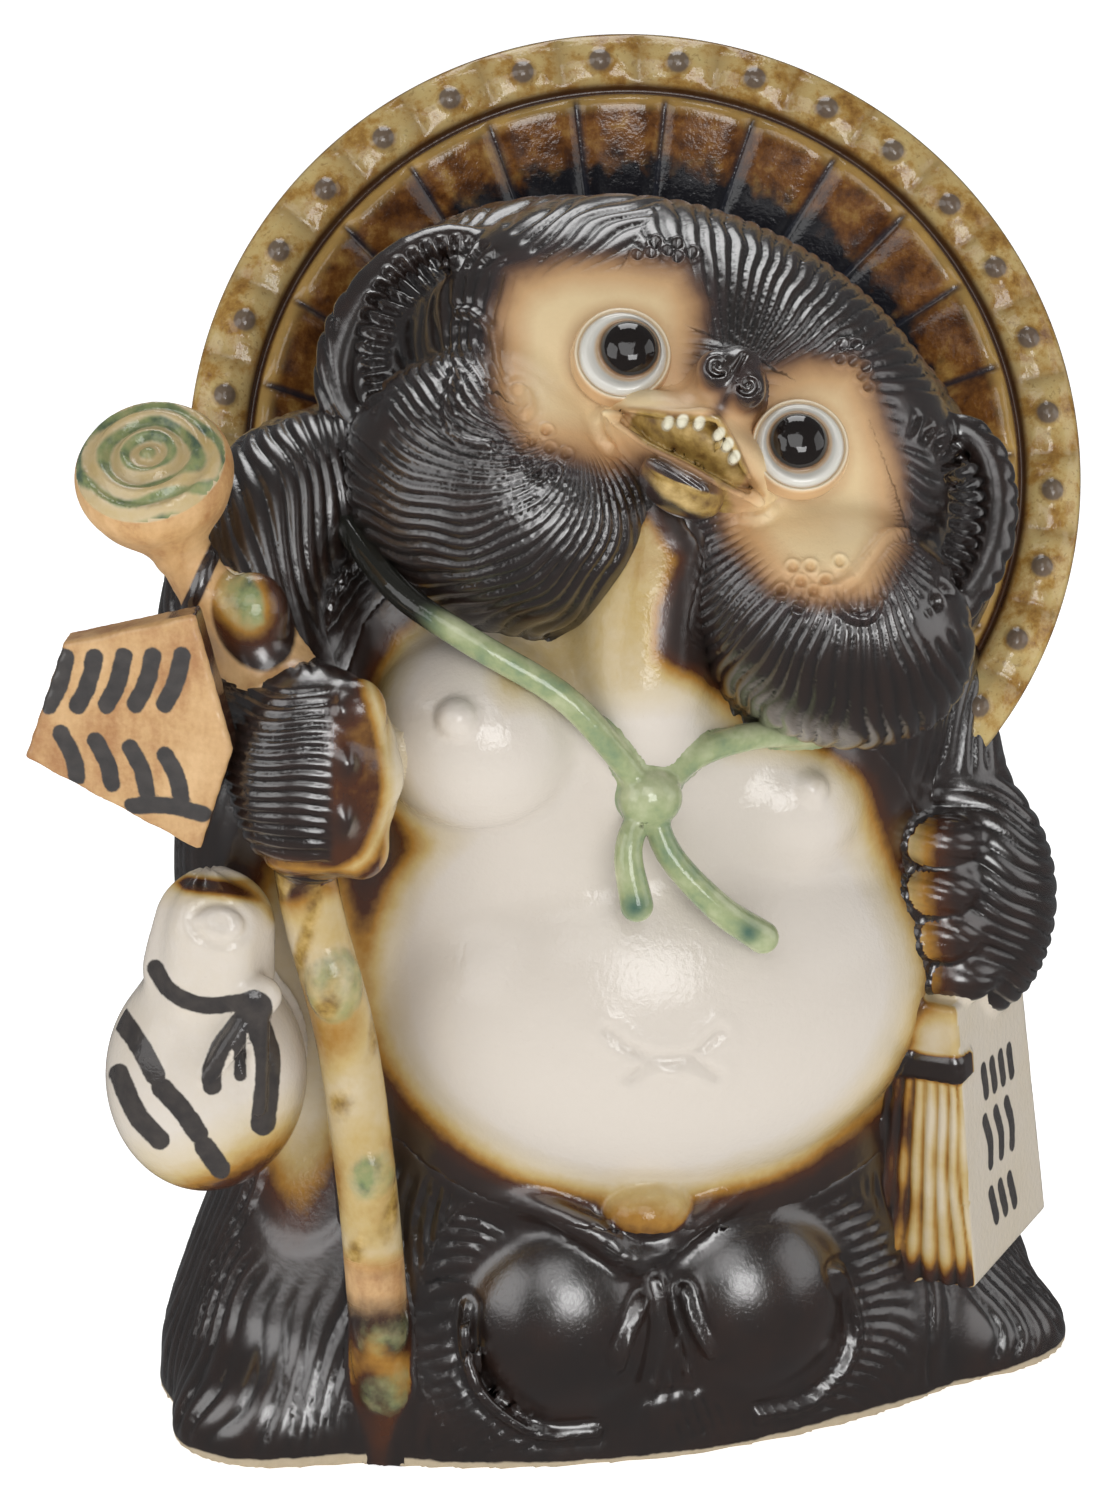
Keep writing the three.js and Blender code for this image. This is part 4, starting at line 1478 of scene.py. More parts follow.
def log_field(p):
    q = local(p, LOG_PLACE, LOG_AXES)
    radius = np.hypot(q[0], q[1])
    side = hermite(np.clip(q[2], LOG_STATIONS[0], LOG_STATIONS[-1]), LOG_STATIONS, LOG_RADII)
    face = q[2] - (7.4 + 0.9 * np.cos(radius * RING_TURN - 0.4))
    return np.maximum(np.maximum((radius - side) * 0.8, face), LOG_STATIONS[0] - q[2])


def staff_field(p):
    whole = melt(log_field(p), limb(p, *STEM), 3)
    pole_radii = [sizes().staff_radius / MM] * (len(POLE) - 1) + [POLE_FOOT_RADIUS]
    whole = melt(whole, limb(p, POLE, pole_radii), 2)
    whole = with_eggs(whole, p, STAFF_KNOTS, 2)
    return np.maximum(whole, -p[2])


STEM_KNOT = (-67.5, 29.5)
STEM_TIE = [(-75.3, 46.8), (-79.5, 37), (-84.3, 26)]
STEM_FROM = 185
POLE_LIGHT_FROM = 45
POLE_GOLD = (52, 180)
POLE_BARE = 46
POLE_MOSS = (-43, -95)
STAFF_BOX = ((-122, -58, -3), (-36, 6, 255))


class TANUKI_OT_staff(bpy.types.Operator):
    """Build the staff with its sawn knob and knots"""

    bl_idname = "tanuki.staff"
    bl_label = "Staff"

    def execute(self, context):
        def field(p):
            own = staff_field(p)
            rest = np.minimum(torso_field(p), staff_arm_field(p))
            return np.maximum(fillet(own, rest, 2, 2.0), -p[2])

        corners, faces = skin(field, 1.1, STAFF_BOX, 1.6, 1)
        p = corners.T
        q = local(p, LOG_PLACE, LOG_AXES)
        u, v = shown(p)
        stem = p[2] > STEM_FROM
        rings = np.cos(np.hypot(q[0], q[1] * 1.2) * RING_TURN + 1.2 * ripple(p, 16))
        top = ease(q[2], 3, 5.5)
        knots = -near_eggs(p, STAFF_KNOTS[1:])
        eye = ease(knots, 1.8, 2.8)
        moss = 2 - np.hypot((u - POLE_MOSS[0]) / 2.5, (v - POLE_MOSS[1]) / 4) * 2
        knots = np.maximum(np.minimum(knots, 4 - 2 * knots), moss)
        lip = 9 * ease(staff_field(p), 0.4, 1.4)
        pole = np.minimum((p[2] - POLE_GOLD[0]) * 0.6, 1.2 + 1.2 * ripple(p, 16))
        pole = pole - 4 * ease(v, -36, -28) - 5 * eye
        foot = -2.6 + 1.8 * ripple(p, 14) - 3 * eye
        light = np.where(stem, 2.0 + 0.5 * rings, np.where(p[2] > POLE_LIGHT_FROM, pole, foot)) - lip
        tie = stroke(u, v, STEM_TIE)
        glazed = -ellipse(u, v, STEM_KNOT, (9.5, 13), 20)
        core = ellipse(u, v, (STEM_KNOT[0] - 3, STEM_KNOT[1] + 4), (4, 6), 25)
        light = np.where(glazed > -3, 0.8 - 0.9 * np.maximum(core, 0), light)
        bare_band = 1.3 - 0.25 * np.abs(p[2] - POLE_BARE) - lip
        wood = np.where(stem, np.minimum(4 - 8 * top, 1 - 2 * glazed), bare_band)
        beside_tie = (tie - 1.7) * 4
        stem_green = np.where(stem, 1.2 * ripple(p, 12, 3) - 0.9 * np.maximum(core, 0), ABSENT)
        green = np.maximum(knots - lip, np.where(top > 0.5, rings * 2.2 - 0.3, stem_green))
        golden = (p[2] > POLE_GOLD[0]) & (p[2] < POLE_GOLD[1])
        gold = np.where(golden, 1.6 * ripple(p, 11, 9) - 0.9 - lip, ABSENT)
        layers = {
            "light": np.minimum(light, beside_tie - 3), "wood": np.minimum(wood, beside_tie),
            "green": green, "gold": gold}
        corners = pressed(corners, faces, -bell(tie, 1.6))
        piece("staff", corners, faces, "staff_glaze", layers)
        return {"FINISHED"}


TAG_PLACE = (-89, -39.5, 197.5)
TAG_AXES = axes(-24, 0)
TAG_CORNERS = [(-28, 0), (0, 7.5), (7.5, -22), (0, -45), (-37, -26)]
TAG_THICKNESS = 8
TAG_ROUNDING = 1.2
TAG_BOX = ((-132, -62, 146), (-74, -18, 210))


def row(line, pitch, strokes):
    """The same brush stroke again and again, each a pitch on from the last."""
    return [[(x + pitch[0] * i, y + pitch[1] * i) for x, y in line] for i in range(strokes)]


TAG_STROKES = [
    *row([(-27.5, -3), (-29.0, -9), (-31.5, -14)], (6.2, 0.4), 5),
    *row([(-29, -20), (-26.6, -25), (-25.8, -29.5)], (7.4, -1.2), 4),
    [(-14, -35.5), (-7, -35), (1, -36.5)],
]


class TANUKI_OT_tag(bpy.types.Operator):
    """Build the five-sided tag with its brush strokes"""

    bl_idname = "tanuki.tag"
    bl_label = "Tag"

    def execute(self, context):
        def field(p):
            q = local(p, TAG_PLACE, TAG_AXES)
            plan = outline(q[0], q[1], TAG_CORNERS) + TAG_ROUNDING
            slab = np.abs(q[2] - TAG_THICKNESS / 2 + 1) - TAG_THICKNESS / 2 + TAG_ROUNDING
            inside = np.minimum(np.maximum(plan, slab), 0)
            return np.hypot(np.maximum(plan, 0), np.maximum(slab, 0)) + inside - TAG_ROUNDING

        corners, faces = skin(field, 0.9, TAG_BOX, 1.6, 1)
        q = local(corners.T, TAG_PLACE, TAG_AXES)
        ink = 1.9 - near_lines(q[0], q[1], TAG_STROKES)
        front = ease(q[2], 5.0, 6.3)
        grain = np.sin(q[1] * 1.5 + 0.08 * q[0] + 2.0 * ripple(corners.T, 40)) * front
        corners = pressed(corners, faces, 0.12 * grain)
        wood = 4 - 8 * (1 - front) * ease(q[0], -12, 0)
        layers = {"wood": wood, "ink": np.where(q[2] > 5.5, ink, ABSENT), "light": -3.0}
        piece("tag", corners, faces, "staff_glaze", layers)
        return {"FINISHED"}


BAG = ((-87, -26, 93), (22, 20, 26.5))
BAG_NECK = ([(-87.5, -28, 107), (-87, -31, 120), (-86, -33, 130)], (12, 13.8, 12.5))
BAG_MOUTH = ([(-86.5, -33, 127), (-86, -35, 135)], (7, 6))
BAG_BOW = ((-80, -43.5, 117), (6, 4, 5))
BAG_TAILS = [
    [(-80, -44, 115), (-86, -45, 107), (-91, -44.5, 100)],
    [(-79, -44, 115), (-80, -44.5, 104), (-80, -45.5, 92)],
]
BAG_TAIL_RADII = (2.4, 2.8, 1.8)
BAG_PLEATS = 7
BAG_AXIS = (-87, -30)
BAG_BAND = [(-89.5, -48.4), (-86.8, -52.8), (-82.4, -55.7), (-77.3, -56.8), (-71.7, -56.2), (-67, -55.3)]
BAG_RIBBON = [
    [(-70, -59.5), (-74.4, -65.3), (-76.8, -71), (-76.8, -74.4)], [(-70.6, -63), (-70.6, -72.2)],
    [(-66.6, -60.8), (-64.4, -68.2), (-64.8, -76.6), (-65.5, -82.8)],
]
BAG_RIBBON_WIDTHS = (2.2, 1.4, 2.8)
BAG_KNOT = (-67.5, -57.5)
BAG_KNOT_RADIUS = 4.2
BAG_STREAK = [(-82, -29.5), (-75, -31), (-67, -33), (-63, -37)]
BAG_DIMPLE = ((-75, -38.5), (6.4, 4.6), -8)
BAG_BOX = ((-114, -56, 60), (-58, 2, 152))
BAG_STROKES = [
    [(-98.5, -57.5), (-93, -65.5), (-89.5, -72)], [(-88, -75), (-83.5, -80), (-80, -85)],
    [(-78.5, -88), (-75, -93)], [(-97.5, -72), (-93.5, -81), (-88.5, -86.5)],
]


def bag_field(p):
    neck = limb(p, *BAG_NECK)
    angle = np.arctan2(p[1] - BAG_AXIS[1], p[0] - BAG_AXIS[0])
    neck = neck + 0.5 * np.cos(BAG_PLEATS * angle) * ease(p[2], 110, 120)
    whole = melt(egg(p, *BAG), neck, 5)
    whole = melt(whole, limb(p, *BAG_MOUTH), 1.5)
    whole = melt(whole, egg(p, *BAG_BOW), 1.5)
    return with_limbs(whole, p, BAG_TAILS, BAG_TAIL_RADII, 1.2)


class TANUKI_OT_bag(bpy.types.Operator):
    """Build the money bag with its gathered neck and ribbon"""

    bl_idname = "tanuki.bag"
    bl_label = "Money bag"

    def execute(self, context):
        def field(p):
            own = bag_field(p)
            rest = np.minimum(np.minimum(torso_field(p), staff_field(p)), staff_arm_field(p))
            return fillet(own, rest, 2, 2.0)

        corners, faces = skin(field, finer_in_front(-15, 1.0, 2.4), BAG_BOX, 1.8, 1)
        p = corners.T
        u, v = shown(p)
        knot = near_points(u, v, [BAG_KNOT]) - BAG_KNOT_RADIUS
        ribbon = [stroke(u, v, line) - width for line, width in zip(BAG_RIBBON, BAG_RIBBON_WIDTHS)]
        band = stroke(u, v, BAG_BAND) - 1.9
        marks = near_lines(u, v, BAG_STROKES) - 2.3
        low = (v + 98) * 0.5 - 0.24 * np.maximum(u + 86, 0)
        top = (-31 - v) * 0.9 + np.abs(u + 80) * 0.15
        light = np.minimum(np.minimum(low, 6.5), np.maximum(top, (v + 29) * 2) + 1.5)
        light = light - 6 * bell(stroke(u, v, BAG_STREAK), 2.2)
        dimple = np.where((p[1] < -30) & (v > -52), ellipse(u, v, *BAG_DIMPLE), -ABSENT)
        corners = pressed(corners, faces, 0.8 * bell(dimple, 0.9) - 0.5 * bell(dimple + 2.4, 1.4))
        ink = np.where(p[1] < -24, -np.minimum.reduce([knot, *ribbon, band, marks]), ABSENT)
        piece("money_bag", corners, faces, "cream_glaze", {"light": light, "ink": ink})
        return {"FINISHED"}


LEDGER_PLACE = (88.2, -22.5, 62.5)
LEDGER_AXES = axes(50, 0)
LEDGER_SIZE = (46, 68, 20)
LEDGER_STROKES = [
    *row([(-8, 14), (-7, 8)], (5.5, -0.5), 4),
    *row([(-9, 2), (-6.5, -4), (-7, -9)], (7, -0.5), 3),
    *row([(-8, -16), (-5.5, -23)], (6, -0.5), 3),
]
LEDGER_BAND = 19
LEDGER_ROUNDING = 1.5
LEDGER_LEAVES = 3.5
LEDGER_BOX = ((58, -52, 18), (128, 32, 100))


def ledger_parts(p):
    """Places on the ledger, how far up it they are, and half its thickness there."""
    q = local(p, LEDGER_PLACE, LEDGER_AXES)
    rise = q[1] / LEDGER_SIZE[1]
    thick = LEDGER_SIZE[2] / 2 * (1 - 0.6 * rise)
    return q, rise, thick


def ledger_field(p):
    q, rise, thick = ledger_parts(p)
    wide, tall, _ = LEDGER_SIZE
    side = np.abs(q[0]) - wide / 2 + np.where(q[0] > 0, 7 * rise, 0) + LEDGER_ROUNDING
    end = np.abs(q[1]) - tall / 2 + LEDGER_ROUNDING
    flat = np.abs(q[2]) - thick + LEDGER_ROUNDING
    worst = np.maximum(np.maximum(side, end), flat)
    outer = length(np.maximum(np.stack([side, end, flat]), 0))
    return outer + np.minimum(worst, 0) - LEDGER_ROUNDING


class TANUKI_OT_ledger(bpy.types.Operator):
    """Build the ledger with its leaves, band and cover strokes"""

    bl_idname = "tanuki.ledger"
    bl_label = "Ledger"

    def execute(self, context):
        def field(p):
            own = ledger_field(p)
            rest = np.minimum(torso_field(p), book_arm_field(p))
            return fillet(own, rest, 1.5, 1.5)

        corners, faces = skin(field, finer_in_front(-5, 1.0, 2.6), LEDGER_BOX, 1.8, 1)
        p = corners.T
        q, _, thick = ledger_parts(p)
        edge = -LEDGER_SIZE[0] / 2
        leafy = 1 - ease(q[0], edge + 1.0, edge + 2.4)
        bound = 1 - ease(np.abs(q[1] - LEDGER_BAND), 2.6, 3.4)
        below = 1 - ease(q[1], LEDGER_BAND - 4, LEDGER_BAND - 2)
        leaf = groove(q[2] / thick * LEDGER_LEAVES + 0.25 * ripple(p, 26)) * leafy * below
        folded = ease(q[2], thick - 1.2, thick - 0.4) * (1 - ease(q[0], -16, -14))
        corners = pressed(corners, faces, 1.1 * leaf - 0.9 * bound * np.maximum(leafy, folded))
        cover = ease(q[2], thick - 1.5, thick - 0.5) * (1 - leafy)
        marks = 1.8 - near_lines(q[0], q[1], LEDGER_STROKES)
        drip = bound * np.maximum(leafy, (1 - ease(q[0], -18, -15)))
        ends = 7 * ease(-q[1], 24, 35) + 3 * ease(q[1], 27, 34)
        light = np.where(cover > 0.5, 5.5, 2.6 - 1.2 * ripple(p, 12)) - 3.6 * leaf - ends * leafy
        light = light - 7 * leafy * ease(-q[2] / thick, -0.1, 1.0) - 12 * drip
        layers = {"light": light, "cut": leaf, "ink": np.where(cover > 0.5, marks, ABSENT)}
        piece("ledger", corners, faces, "cream_glaze", layers)
        return {"FINISHED"}


# The neck cord

CORD_LEFT = [(-52, -4, 213), (-45, -30, 202), (-32, -43, 193), (-14, -50, 181.5), (-3, -53, 169), KNOT]
CORD_RIGHT = [KNOT, (16, -50, 164.5), (30, -48, 167), (48, -42, 164.5), (64, -33, 166), (73, -26, 171)]
CORD_ENDS = [(17.3, -35.0), (42.4, -40.5)]
CORD_TAILS = [
    [KNOT, (-1, -58, 148), (0, -61, 136)], [KNOT, (8, -58, 146), (18, -62, 134), (28, -62, 126)],
]
CORD_KNOB = ((KNOT[0], KNOT[1] - 1, KNOT[2]), (7, 6, 6.5))
CORD_BOX = ((-60, -72, 118), (74, 4, 222))
CELADON_DARK = (0.13, 0.22, 0.14, 1)
CELADON_LIGHT = (0.54, 0.56, 0.36, 1)
TEAL = (0.03, 0.10, 0.09, 1)
CORD_BLACK = (0.02, 0.02, 0.016, 1)
CORD_WAVE_DEPTH = 0.0001


class TANUKI_OT_cord(bpy.types.Operator):
    """Build the knotted cord round the neck"""

    bl_idname = "tanuki.cord"
    bl_label = "Neck cord"

    def execute(self, context):
        radius = sizes().cord_radius / MM

        def own(p):
            whole = melt(limb(p, CORD_LEFT, (radius,) * 2), limb(p, CORD_RIGHT, (radius,) * 2), 1)
            whole = melt(whole, egg(p, *CORD_KNOB), 1)
            return with_limbs(whole, p, CORD_TAILS, (radius * 0.9, radius, radius * 1.2), 0.8)

        def field(p):
            return fillet(own(p), torso_field(p), 1.2, 1.0)

        corners, faces = skin(field, 0.9, CORD_BOX, 1.5, 1)
        p = corners.T
        u, v = shown(p)
        teal = np.maximum.reduce([bell(np.hypot(u - x, v - y), 2.3) for x, y in CORD_ENDS])
        layers = {"reach": ease(p[1], -44, -38), "teal": teal}
        piece("neck_cord", corners, faces, "cream_glaze", layers, celadon())
        return {"FINISHED"}


def celadon():
    def build(tree):
        g = glazes()
        paint = tree.mottle(120, [(0.25, CELADON_DARK), (0.5, g.celadon), (0.75, CELADON_LIGHT)])
        paint = tree.mix(tree.layer("teal") * 0.85, paint, TEAL)
        paint = tree.mix(tree.layer("reach"), paint, CORD_BLACK)
        rough = 0.12 + tree.noise(90, 2) * 0.06
        return {
            "Base Color": paint, "Roughness": rough, "Coat Weight": 0.4, "Coat Roughness": 0.05,
            "Normal": tree.bump(tree.noise(700, 2), CORD_WAVE_DEPTH)}
    return finish("celadon", build)


# The hat: its profile as radius, height and the number of rows to the next point

HAT_PROFILE = [
    (0, -50, 2), (16, -46, 3), (40, -35.5, 3), (64, -24, 3), (85, -14, 3), (98, -6.2, 2), (99.8, -4.2, 2),
    (100.5, -1.8, 2), (99.6, -0.2, 3), (97, 1.2, 4), (93.5, 1.8, 4), (90, 1.0, 3), (88, -0.4, 3),
    (87, -2.2, 3), (85.6, -0.6, 3), (83, -0.9, 5), (76.5, -4.0, 8), (60, -11.5, 4), (40, -17.5, 3),
    (20, -22, 3), (0, -24, 0),
]
HAT_EDGE = 7
HAT_COLUMNS = 660
HAT_SPAN = 60.0
HAT_INPUTS = {
    "Radius": "NodeSocketFloat", "Band": "NodeSocketFloat", "Studs": "NodeSocketInt",
    "Ribs": "NodeSocketInt", "Stud Height": "NodeSocketFloat", "Material": "NodeSocketMaterial",
}

# Reliefs of the hat, in metres: where each starts and ends from the middle, and its height

STUD_RADIUS = 0.0034
PANEL_EDGE = (0.0835, 0.0868)
PANEL_HEIGHT = 0.0022
PETAL_INNER = (0.0885, 0.0905)
PETAL_OUTER = (0.0985, 0.1)
PETAL_DEPTH = 0.0011
MERGE_DISTANCE = 2e-7


def hat_tree():
    """Geometry nodes: a grid bent round a profile, with studs, ribs and pillowed panels."""
    group = bpy.data.node_groups.new("hat", "GeometryNodeTree")
    for label, kind in HAT_INPUTS.items():
        group.interface.new_socket(name=label, in_out="INPUT", socket_type=kind)
    group.interface.new_socket(name="Geometry", in_out="OUTPUT", socket_type="NodeSocketGeometry")
    tree = Tree(group)
    source = group.nodes.new("NodeGroupInput")
    radius, band, studs, ribs, stud_height, material = (
        Wire(tree, source.outputs[label]) for label in HAT_INPUTS)
    radii, heights, steps = zip(*HAT_PROFILE)
    rows = sum(steps) + 1
    marks = (np.cumsum([0, *steps[:-1]]) / (rows - 1)).tolist()
    grid = tree.node("GeometryNodeMeshGrid", None, {
        "Size X": 1.0, "Size Y": 1.0, "Vertices X": HAT_COLUMNS + 1, "Vertices Y": rows})
    where = tree.node("ShaderNodeSeparateXYZ", None, {0: tree.node("GeometryNodeInputPosition")})
    around = where + 0.5
    along = Wire(tree, where.socket.node.outputs["Y"]) + 0.5
    angle = around * TURN
    front = along.ease(marks[HAT_EDGE], marks[HAT_EDGE + 1])

    def followed(values):
        """Values of the profile's points, each between 0 and 1, read off along it."""
        return tree.node("ShaderNodeFloatCurve", {"bends": list(zip(marks, values))}, {"Value": along})

    def nearest(count):
        """How far round the nearest of so many marks is, in marks."""
        return (around * count).fraction() - 0.5

    out = followed([r / radii[HAT_EDGE] for r in radii]) * radius
    rise = followed([(h + HAT_CAP_DEPTH) / HAT_SPAN for h in heights])
    rise = (rise * HAT_SPAN - HAT_CAP_DEPTH) * MM
    stud_across = nearest(studs) / studs * TURN * out
    stud_along = out - (radius - band * 0.5)
    stud_far = ((stud_across * stud_across + stud_along * stud_along) ** 0.5) / STUD_RADIUS
    stud = (1 - stud_far.ease(0.35, 1.0)) * front
    rib_off = abs(nearest(ribs)) * 2
    panel = (1 - out.ease(*PANEL_EDGE)) * front
    pillow = (1 - (rib_off ** 4.0)) * panel
    gap = abs(nearest(studs)) * 2
    petal = (gap ** 4.0) * out.ease(*PETAL_INNER) * (1 - out.ease(*PETAL_OUTER)) * front
    rise = rise + stud * stud_height + pillow * PANEL_HEIGHT - petal * PETAL_DEPTH
    place = tree.node("ShaderNodeCombineXYZ", None, {
        0: out * angle.cosine(), 1: out * angle.sine(), 2: rise})
    shape = grid
    for key, value in {
        "radius": out * (1 / MM), "stud": stud, "gap": gap ** 3.0,
        "rib": rib_off.ease(0.86, 0.98) * panel, "front": front,
    }.items():
        shape = tree.node("GeometryNodeStoreNamedAttribute", {"data_type": "FLOAT", "domain": "POINT"}, {
            "Geometry": shape, "Name": key, "Value": value})
    turn = Matrix(HAT_AXES.T.tolist()).to_euler()
    centre = (np.array(HAT_CENTRE) - np.array(FRAME_ORIGIN)) * MM
    for kind, inputs in [
        ("GeometryNodeSetPosition", {"Position": place}),
        ("GeometryNodeMergeByDistance", {"Distance": MERGE_DISTANCE}),
        ("GeometryNodeTransform", {"Translation": tuple(centre), "Rotation": tuple(turn)}),
        ("GeometryNodeSetShadeSmooth", {}),
        ("GeometryNodeRealizeInstances", {}),
        ("GeometryNodeSetMaterial", {"Material": material}),
    ]:
        shape = tree.node(kind, None, {"Geometry": shape, **inputs})
    sink = group.nodes.new("NodeGroupOutput")
    group.links.new(shape.socket, sink.inputs["Geometry"])
    return group


HAT_DARK = (0.20, 0.085, 0.02, 1)
HAT_AMBER = (0.42, 0.24, 0.06, 1)
HAT_SAND = (0.60, 0.46, 0.20, 1)
HAT_OLIVE = (0.46, 0.40, 0.17, 1)
HAT_BORDER = (0.13, 0.045, 0.01, 1)
HAT_FLECK = (0.22, 0.12, 0.035, 1)
STUD_HALO = (0.30, 0.17, 0.05, 1)
STUD_TOP = (0.13, 0.10, 0.085, 1)
PANEL_BLACK = (0.035, 0.011, 0.005, 1)
PANEL_BROWN = (0.10, 0.034, 0.008, 1)
PANEL_AMBER = (0.44, 0.25, 0.065, 1)
DISH_BLACK = (0.012, 0.012, 0.016, 1)
RIB_BLACK = (0.020, 0.022, 0.033, 1)
DISH_LIP = (0.55, 0.36, 0.11, 1)
CLEFT_BROWN = (0.05, 0.018, 0.007, 1)
BACK_BROWN = (0.05, 0.02, 0.008, 1)
HAT_WAVE_DEPTH = 0.00018


def hat_glaze():
    """Mottled ochre on the band, rust and black in the dish, by radii in millimetres."""
    def build(tree):
        g = glazes()
        radius, stud, gap, rib, front = (
            tree.layer(key) for key in ("radius", "stud", "gap", "rib", "front"))

        def between(start, end):
            """1 from one radius to another, each given as a span to ease over."""
            return radius.ease(*start) * (1 - radius.ease(*end))

        mottle = tree.noise(150, 5, 0.65) + 0.5
        rim = tree.ramp(mottle, [
            (0.28, HAT_DARK), (0.42, HAT_AMBER), (0.52, g.ochre), (0.66, HAT_SAND), (0.80, HAT_OLIVE)])
        border = gap * 0.55 + (1 - radius.ease(87.5, 90)) * 0.6 + radius.ease(99.6, 100.4) * 0.35
        rim = tree.mix(border * (mottle * 1.2).at_most(1.0), rim, HAT_BORDER)
        rim = tree.mix(tree.noise(900, 2).ease(0.08, 0.22) * 0.45, rim, HAT_FLECK)
        rim = tree.mix(stud.ease(0.0, 0.2) * 0.5, rim, STUD_HALO)
        rim = tree.mix(stud.ease(0.15, 0.6) * 0.85, rim, STUD_TOP)
        dish = tree.mottle(130, [
            (0.28, PANEL_BLACK), (0.42, PANEL_BROWN), (0.54, g.rust), (0.70, PANEL_AMBER)], 5, 0.65)
        drift = radius + tree.noise(190, 4) * 15
        dish = tree.mix(1 - drift.ease(69, 75), dish, DISH_BLACK)
        dish = tree.mix(rib * 0.9, dish, RIB_BLACK)
        dish = tree.mix(between((81, 84.5), (85.5, 86.6)) * (1 - rib) * 0.65, dish, DISH_LIP)
        both = tree.mix(radius.ease(86.5, 88), dish, rim)
        both = tree.mix(between((85.6, 86.6), (87.6, 88.8)) * 0.9, both, CLEFT_BROWN)
        back = tree.mix((tree.noise(60, 4) + 0.5).ease(0.45, 0.6), BACK_BROWN, g.rust)
        paint = tree.mix(front, tree.mix(radius.ease(88, 97), back, rim), both)
        rough = 0.16 + tree.noise(100, 2) * 0.08
        return {
            "Base Color": paint, "Roughness": rough, "Coat Weight": 0.3, "Coat Roughness": 0.06,
            "Normal": tree.bump(tree.noise(300, 3) + tree.noise(1200, 2) * 0.3, HAT_WAVE_DEPTH)}
    return finish("hat_glaze", build)


class TANUKI_OT_hat(bpy.types.Operator):
    """Build the sedge hat from its profile with geometry nodes"""

    bl_idname = "tanuki.hat"
    bl_label = "Hat"

    def execute(self, context):
        made = bpy.data.objects.new("hat", bpy.data.meshes.new("hat_seed"))
        context.scene.collection.objects.link(made)
        modifier = made.modifiers.new("hat", "NODES")
        modifier.node_group = hat_tree()
        size = sizes()
        given = {
            "Radius": size.hat_radius, "Band": size.hat_band, "Studs": size.hat_studs,
            "Ribs": size.hat_ribs, "Stud Height": size.stud_height, "Material": hat_glaze()}
        for item in modifier.node_group.interface.items_tree:
            if item.in_out == "INPUT":
                modifier[item.identifier] = given[item.name]
        ready = made.evaluated_get(context.evaluated_depsgraph_get())
        made.data = bpy.data.meshes.new_from_object(ready)
        made.modifiers.clear()
        made.data.materials.clear()
        made.data.materials.append(given["Material"])
        made.data.polygons.foreach_set("material_index", np.zeros(len(made.data.polygons), int))
        carried(made)
        return {"FINISHED"}


# The stage, in metres about the frame's origin

FLOOR_WHITE = (0.9, 0.9, 0.9, 1)
FLOOR_ROUGHNESS = 0.6
FLOOR_GLOW = 0.66
FLOOR_HALF_WIDTH = 4.0
FLOOR_FRONT = -4.0
FLOOR_BACK = 3.2
FLOOR_TOP = 4.0
FLOOR_BEND = 1.0
FLOOR_BEND_STEPS = 8
SKY = (0.95, 0.97, 1.0, 1)
SKY_STRENGTH = 0.1
CAMERA_CLIP = (0.05, 20)

# Each lamp's name, place, aim, size and power

LAMPS = [
    ("key", (-0.34, -1.0, 1.02), (0, 0, 0.15), 0.8, 3.2),
    ("core", (-0.02, -1.15, 0.46), (0, 0, 0.08), 0.5, 4.0),
    ("left", (-1.3, -0.4, 0.65), (0, 0, 0.15), 1.1, 5.6),
    ("right", (1.3, -0.6, 0.6), (0, 0, 0.15), 1.1, 3.4),
    ("back", (0.2, 0.65, 1.35), (0, 0, 0.2), 0.8, 6.0),
]


def floor_mesh():
    """A floor that bends up into a back wall."""
    rows = [(FLOOR_FRONT, 0.0), (FLOOR_BACK - FLOOR_BEND, 0.0)]
    for i in range(1, FLOOR_BEND_STEPS + 1):
        angle = i / FLOOR_BEND_STEPS * math.pi / 2
        rows.append((
            FLOOR_BACK - FLOOR_BEND + FLOOR_BEND * math.sin(angle),
            FLOOR_BEND - FLOOR_BEND * math.cos(angle)))
    rows.append((FLOOR_BACK, FLOOR_TOP))
    vertices = [(x, y, z) for y, z in rows for x in (-FLOOR_HALF_WIDTH, FLOOR_HALF_WIDTH)]
    faces = [(2 * i, 2 * i + 1, 2 * i + 3, 2 * i + 2) for i in range(len(rows) - 1)]
    mesh = bpy.data.meshes.new("pale_floor")
    mesh.from_pydata(vertices, [], faces)
    mesh.shade_smooth()
    return mesh


def set_floor(scene):
    ground = bpy.data.materials.new("pale_floor")
    ground.use_nodes = True
    for key, value in {
        "Base Color": FLOOR_WHITE, "Roughness": FLOOR_ROUGHNESS, "Emission Color": (1, 1, 1, 1),
        "Emission Strength": FLOOR_GLOW,
    }.items():
        ground.node_tree.nodes["Principled BSDF"].inputs[key].default_value = value
    mesh = floor_mesh()
    mesh.materials.append(ground)
    floor = bpy.data.objects.new("pale_floor", mesh)
    floor.visible_glossy = False
    scene.collection.objects.link(floor)


def set_lights(scene):
    world = bpy.data.worlds.new("studio")
    world.use_nodes = True
    sky = world.node_tree.nodes["Background"]
    sky.inputs["Color"].default_value = SKY
    sky.inputs["Strength"].default_value = SKY_STRENGTH
    scene.world = world
    for name, place, aim, size, power in LAMPS:
        light = bpy.data.lights.new(name, "AREA")
        light.size = size
        light.energy = power
        lamp = bpy.data.objects.new(name, light)
        lamp.location = place
        lamp.rotation_euler = (Vector(aim) - Vector(place)).to_track_quat("-Z", "Y").to_euler()
        scene.collection.objects.link(lamp)


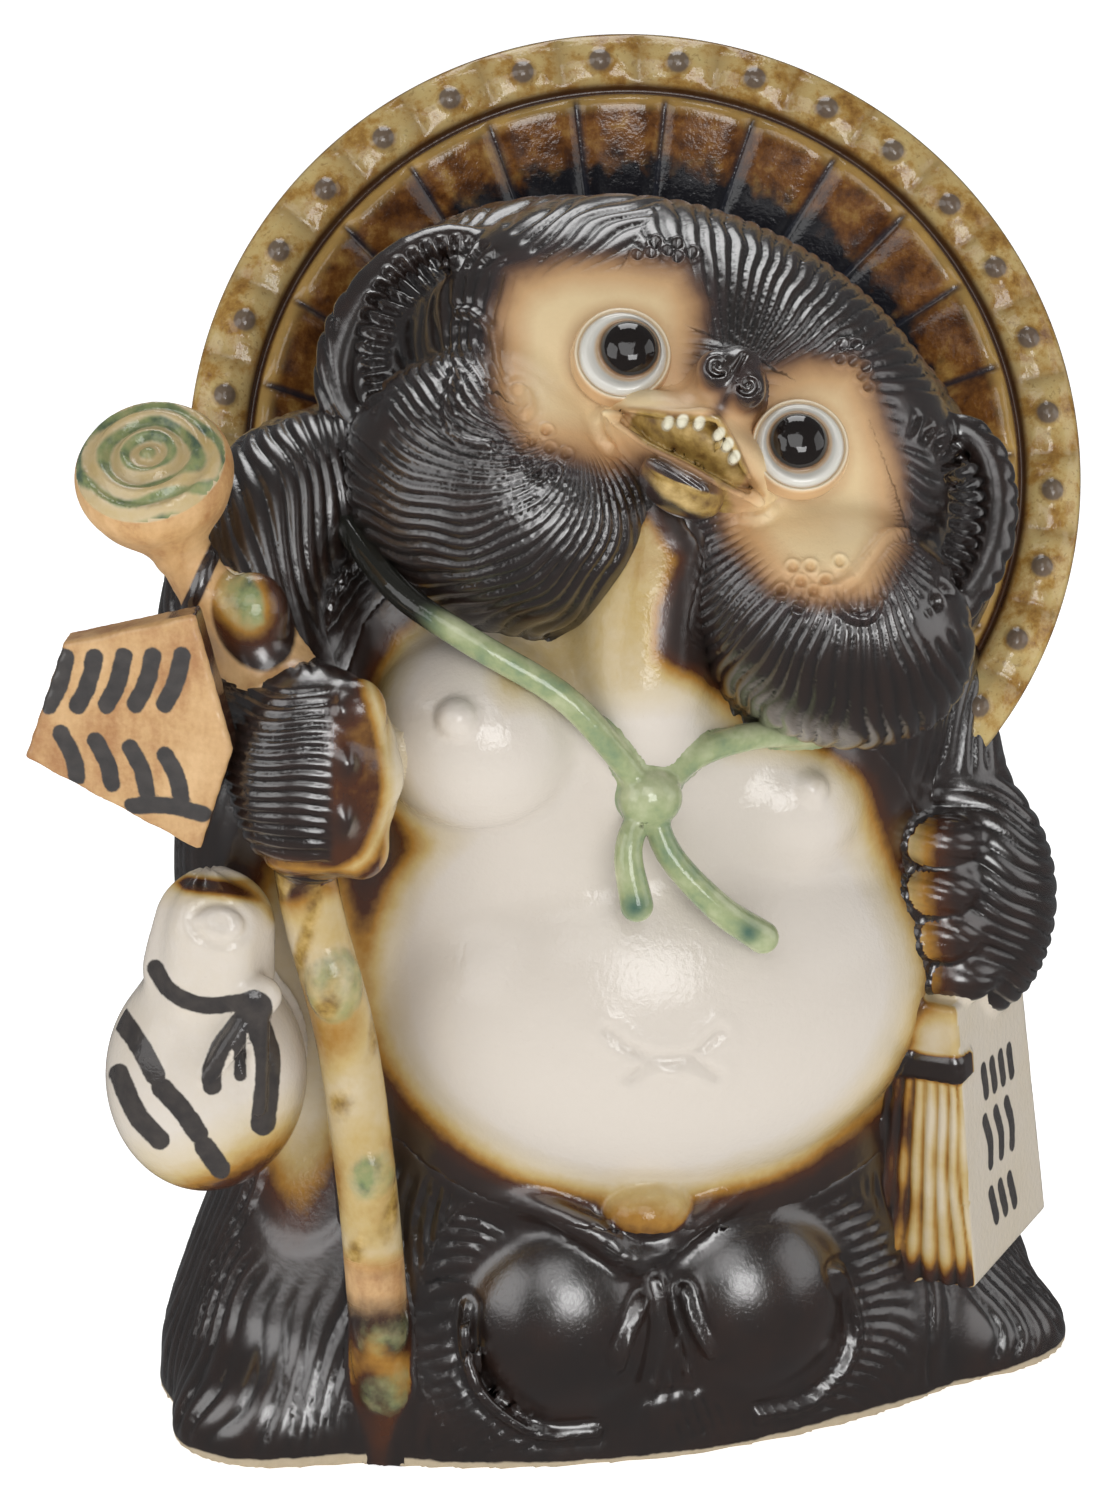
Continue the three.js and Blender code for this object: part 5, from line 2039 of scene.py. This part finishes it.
def set_camera(scene):
    camera = bpy.data.cameras.new("camera")
    camera.sensor_width = SENSOR
    camera.lens = VIEW_LENS
    camera.clip_start, camera.clip_end = CAMERA_CLIP
    eye = bpy.data.objects.new("camera", camera)
    back = Vector(view_back())
    target = (Vector(VIEW_TARGET) - Vector(FRAME_ORIGIN)) * MM
    eye.location = target + back * VIEW_DISTANCE * MM
    eye.rotation_euler = back.to_track_quat("Z", "Y").to_euler()
    scene.collection.objects.link(eye)
    scene.camera = eye


class TANUKI_OT_stage(bpy.types.Operator):
    """Set the pale floor, the soft lights and the camera"""

    bl_idname = "tanuki.stage"
    bl_label = "Stage"

    def execute(self, context):
        context.scene.view_settings.view_transform = "Standard"
        set_floor(context.scene)
        set_lights(context.scene)
        set_camera(context.scene)
        return {"FINISHED"}


class TANUKI_PT_panel(bpy.types.Panel):
    """Lists the pieces of the figure"""

    bl_idname = "TANUKI_PT_panel"
    bl_label = "Shigaraki Tanuki"
    bl_space_type = "VIEW_3D"
    bl_region_type = "UI"
    bl_category = "Tanuki"

    def draw(self, context):
        for operator in PIECES:
            self.layout.operator(operator.bl_idname)


PIECES = [
    TANUKI_OT_stage, TANUKI_OT_body, TANUKI_OT_front, TANUKI_OT_head, TANUKI_OT_eyes, TANUKI_OT_muzzle,
    TANUKI_OT_arms, TANUKI_OT_staff, TANUKI_OT_tag, TANUKI_OT_bag, TANUKI_OT_ledger, TANUKI_OT_cord,
    TANUKI_OT_hat,
]
CLASSES = [TanukiSizes, TanukiGlazes, *PIECES, TANUKI_PT_panel]


def register():
    for kind in CLASSES:
        bpy.utils.register_class(kind)
    bpy.types.Scene.tanuki_sizes = bpy.props.PointerProperty(type=TanukiSizes)
    bpy.types.Scene.tanuki_glazes = bpy.props.PointerProperty(type=TanukiGlazes)


def unregister():
    del bpy.types.Scene.tanuki_glazes
    del bpy.types.Scene.tanuki_sizes
    for kind in reversed(CLASSES):
        bpy.utils.unregister_class(kind)


def main():
    """Builds every piece."""
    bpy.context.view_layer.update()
    register()
    for operator in PIECES:
        group, name = operator.bl_idname.split(".")
        getattr(getattr(bpy.ops, group), name)()


if __name__ == "__main__":
    main()
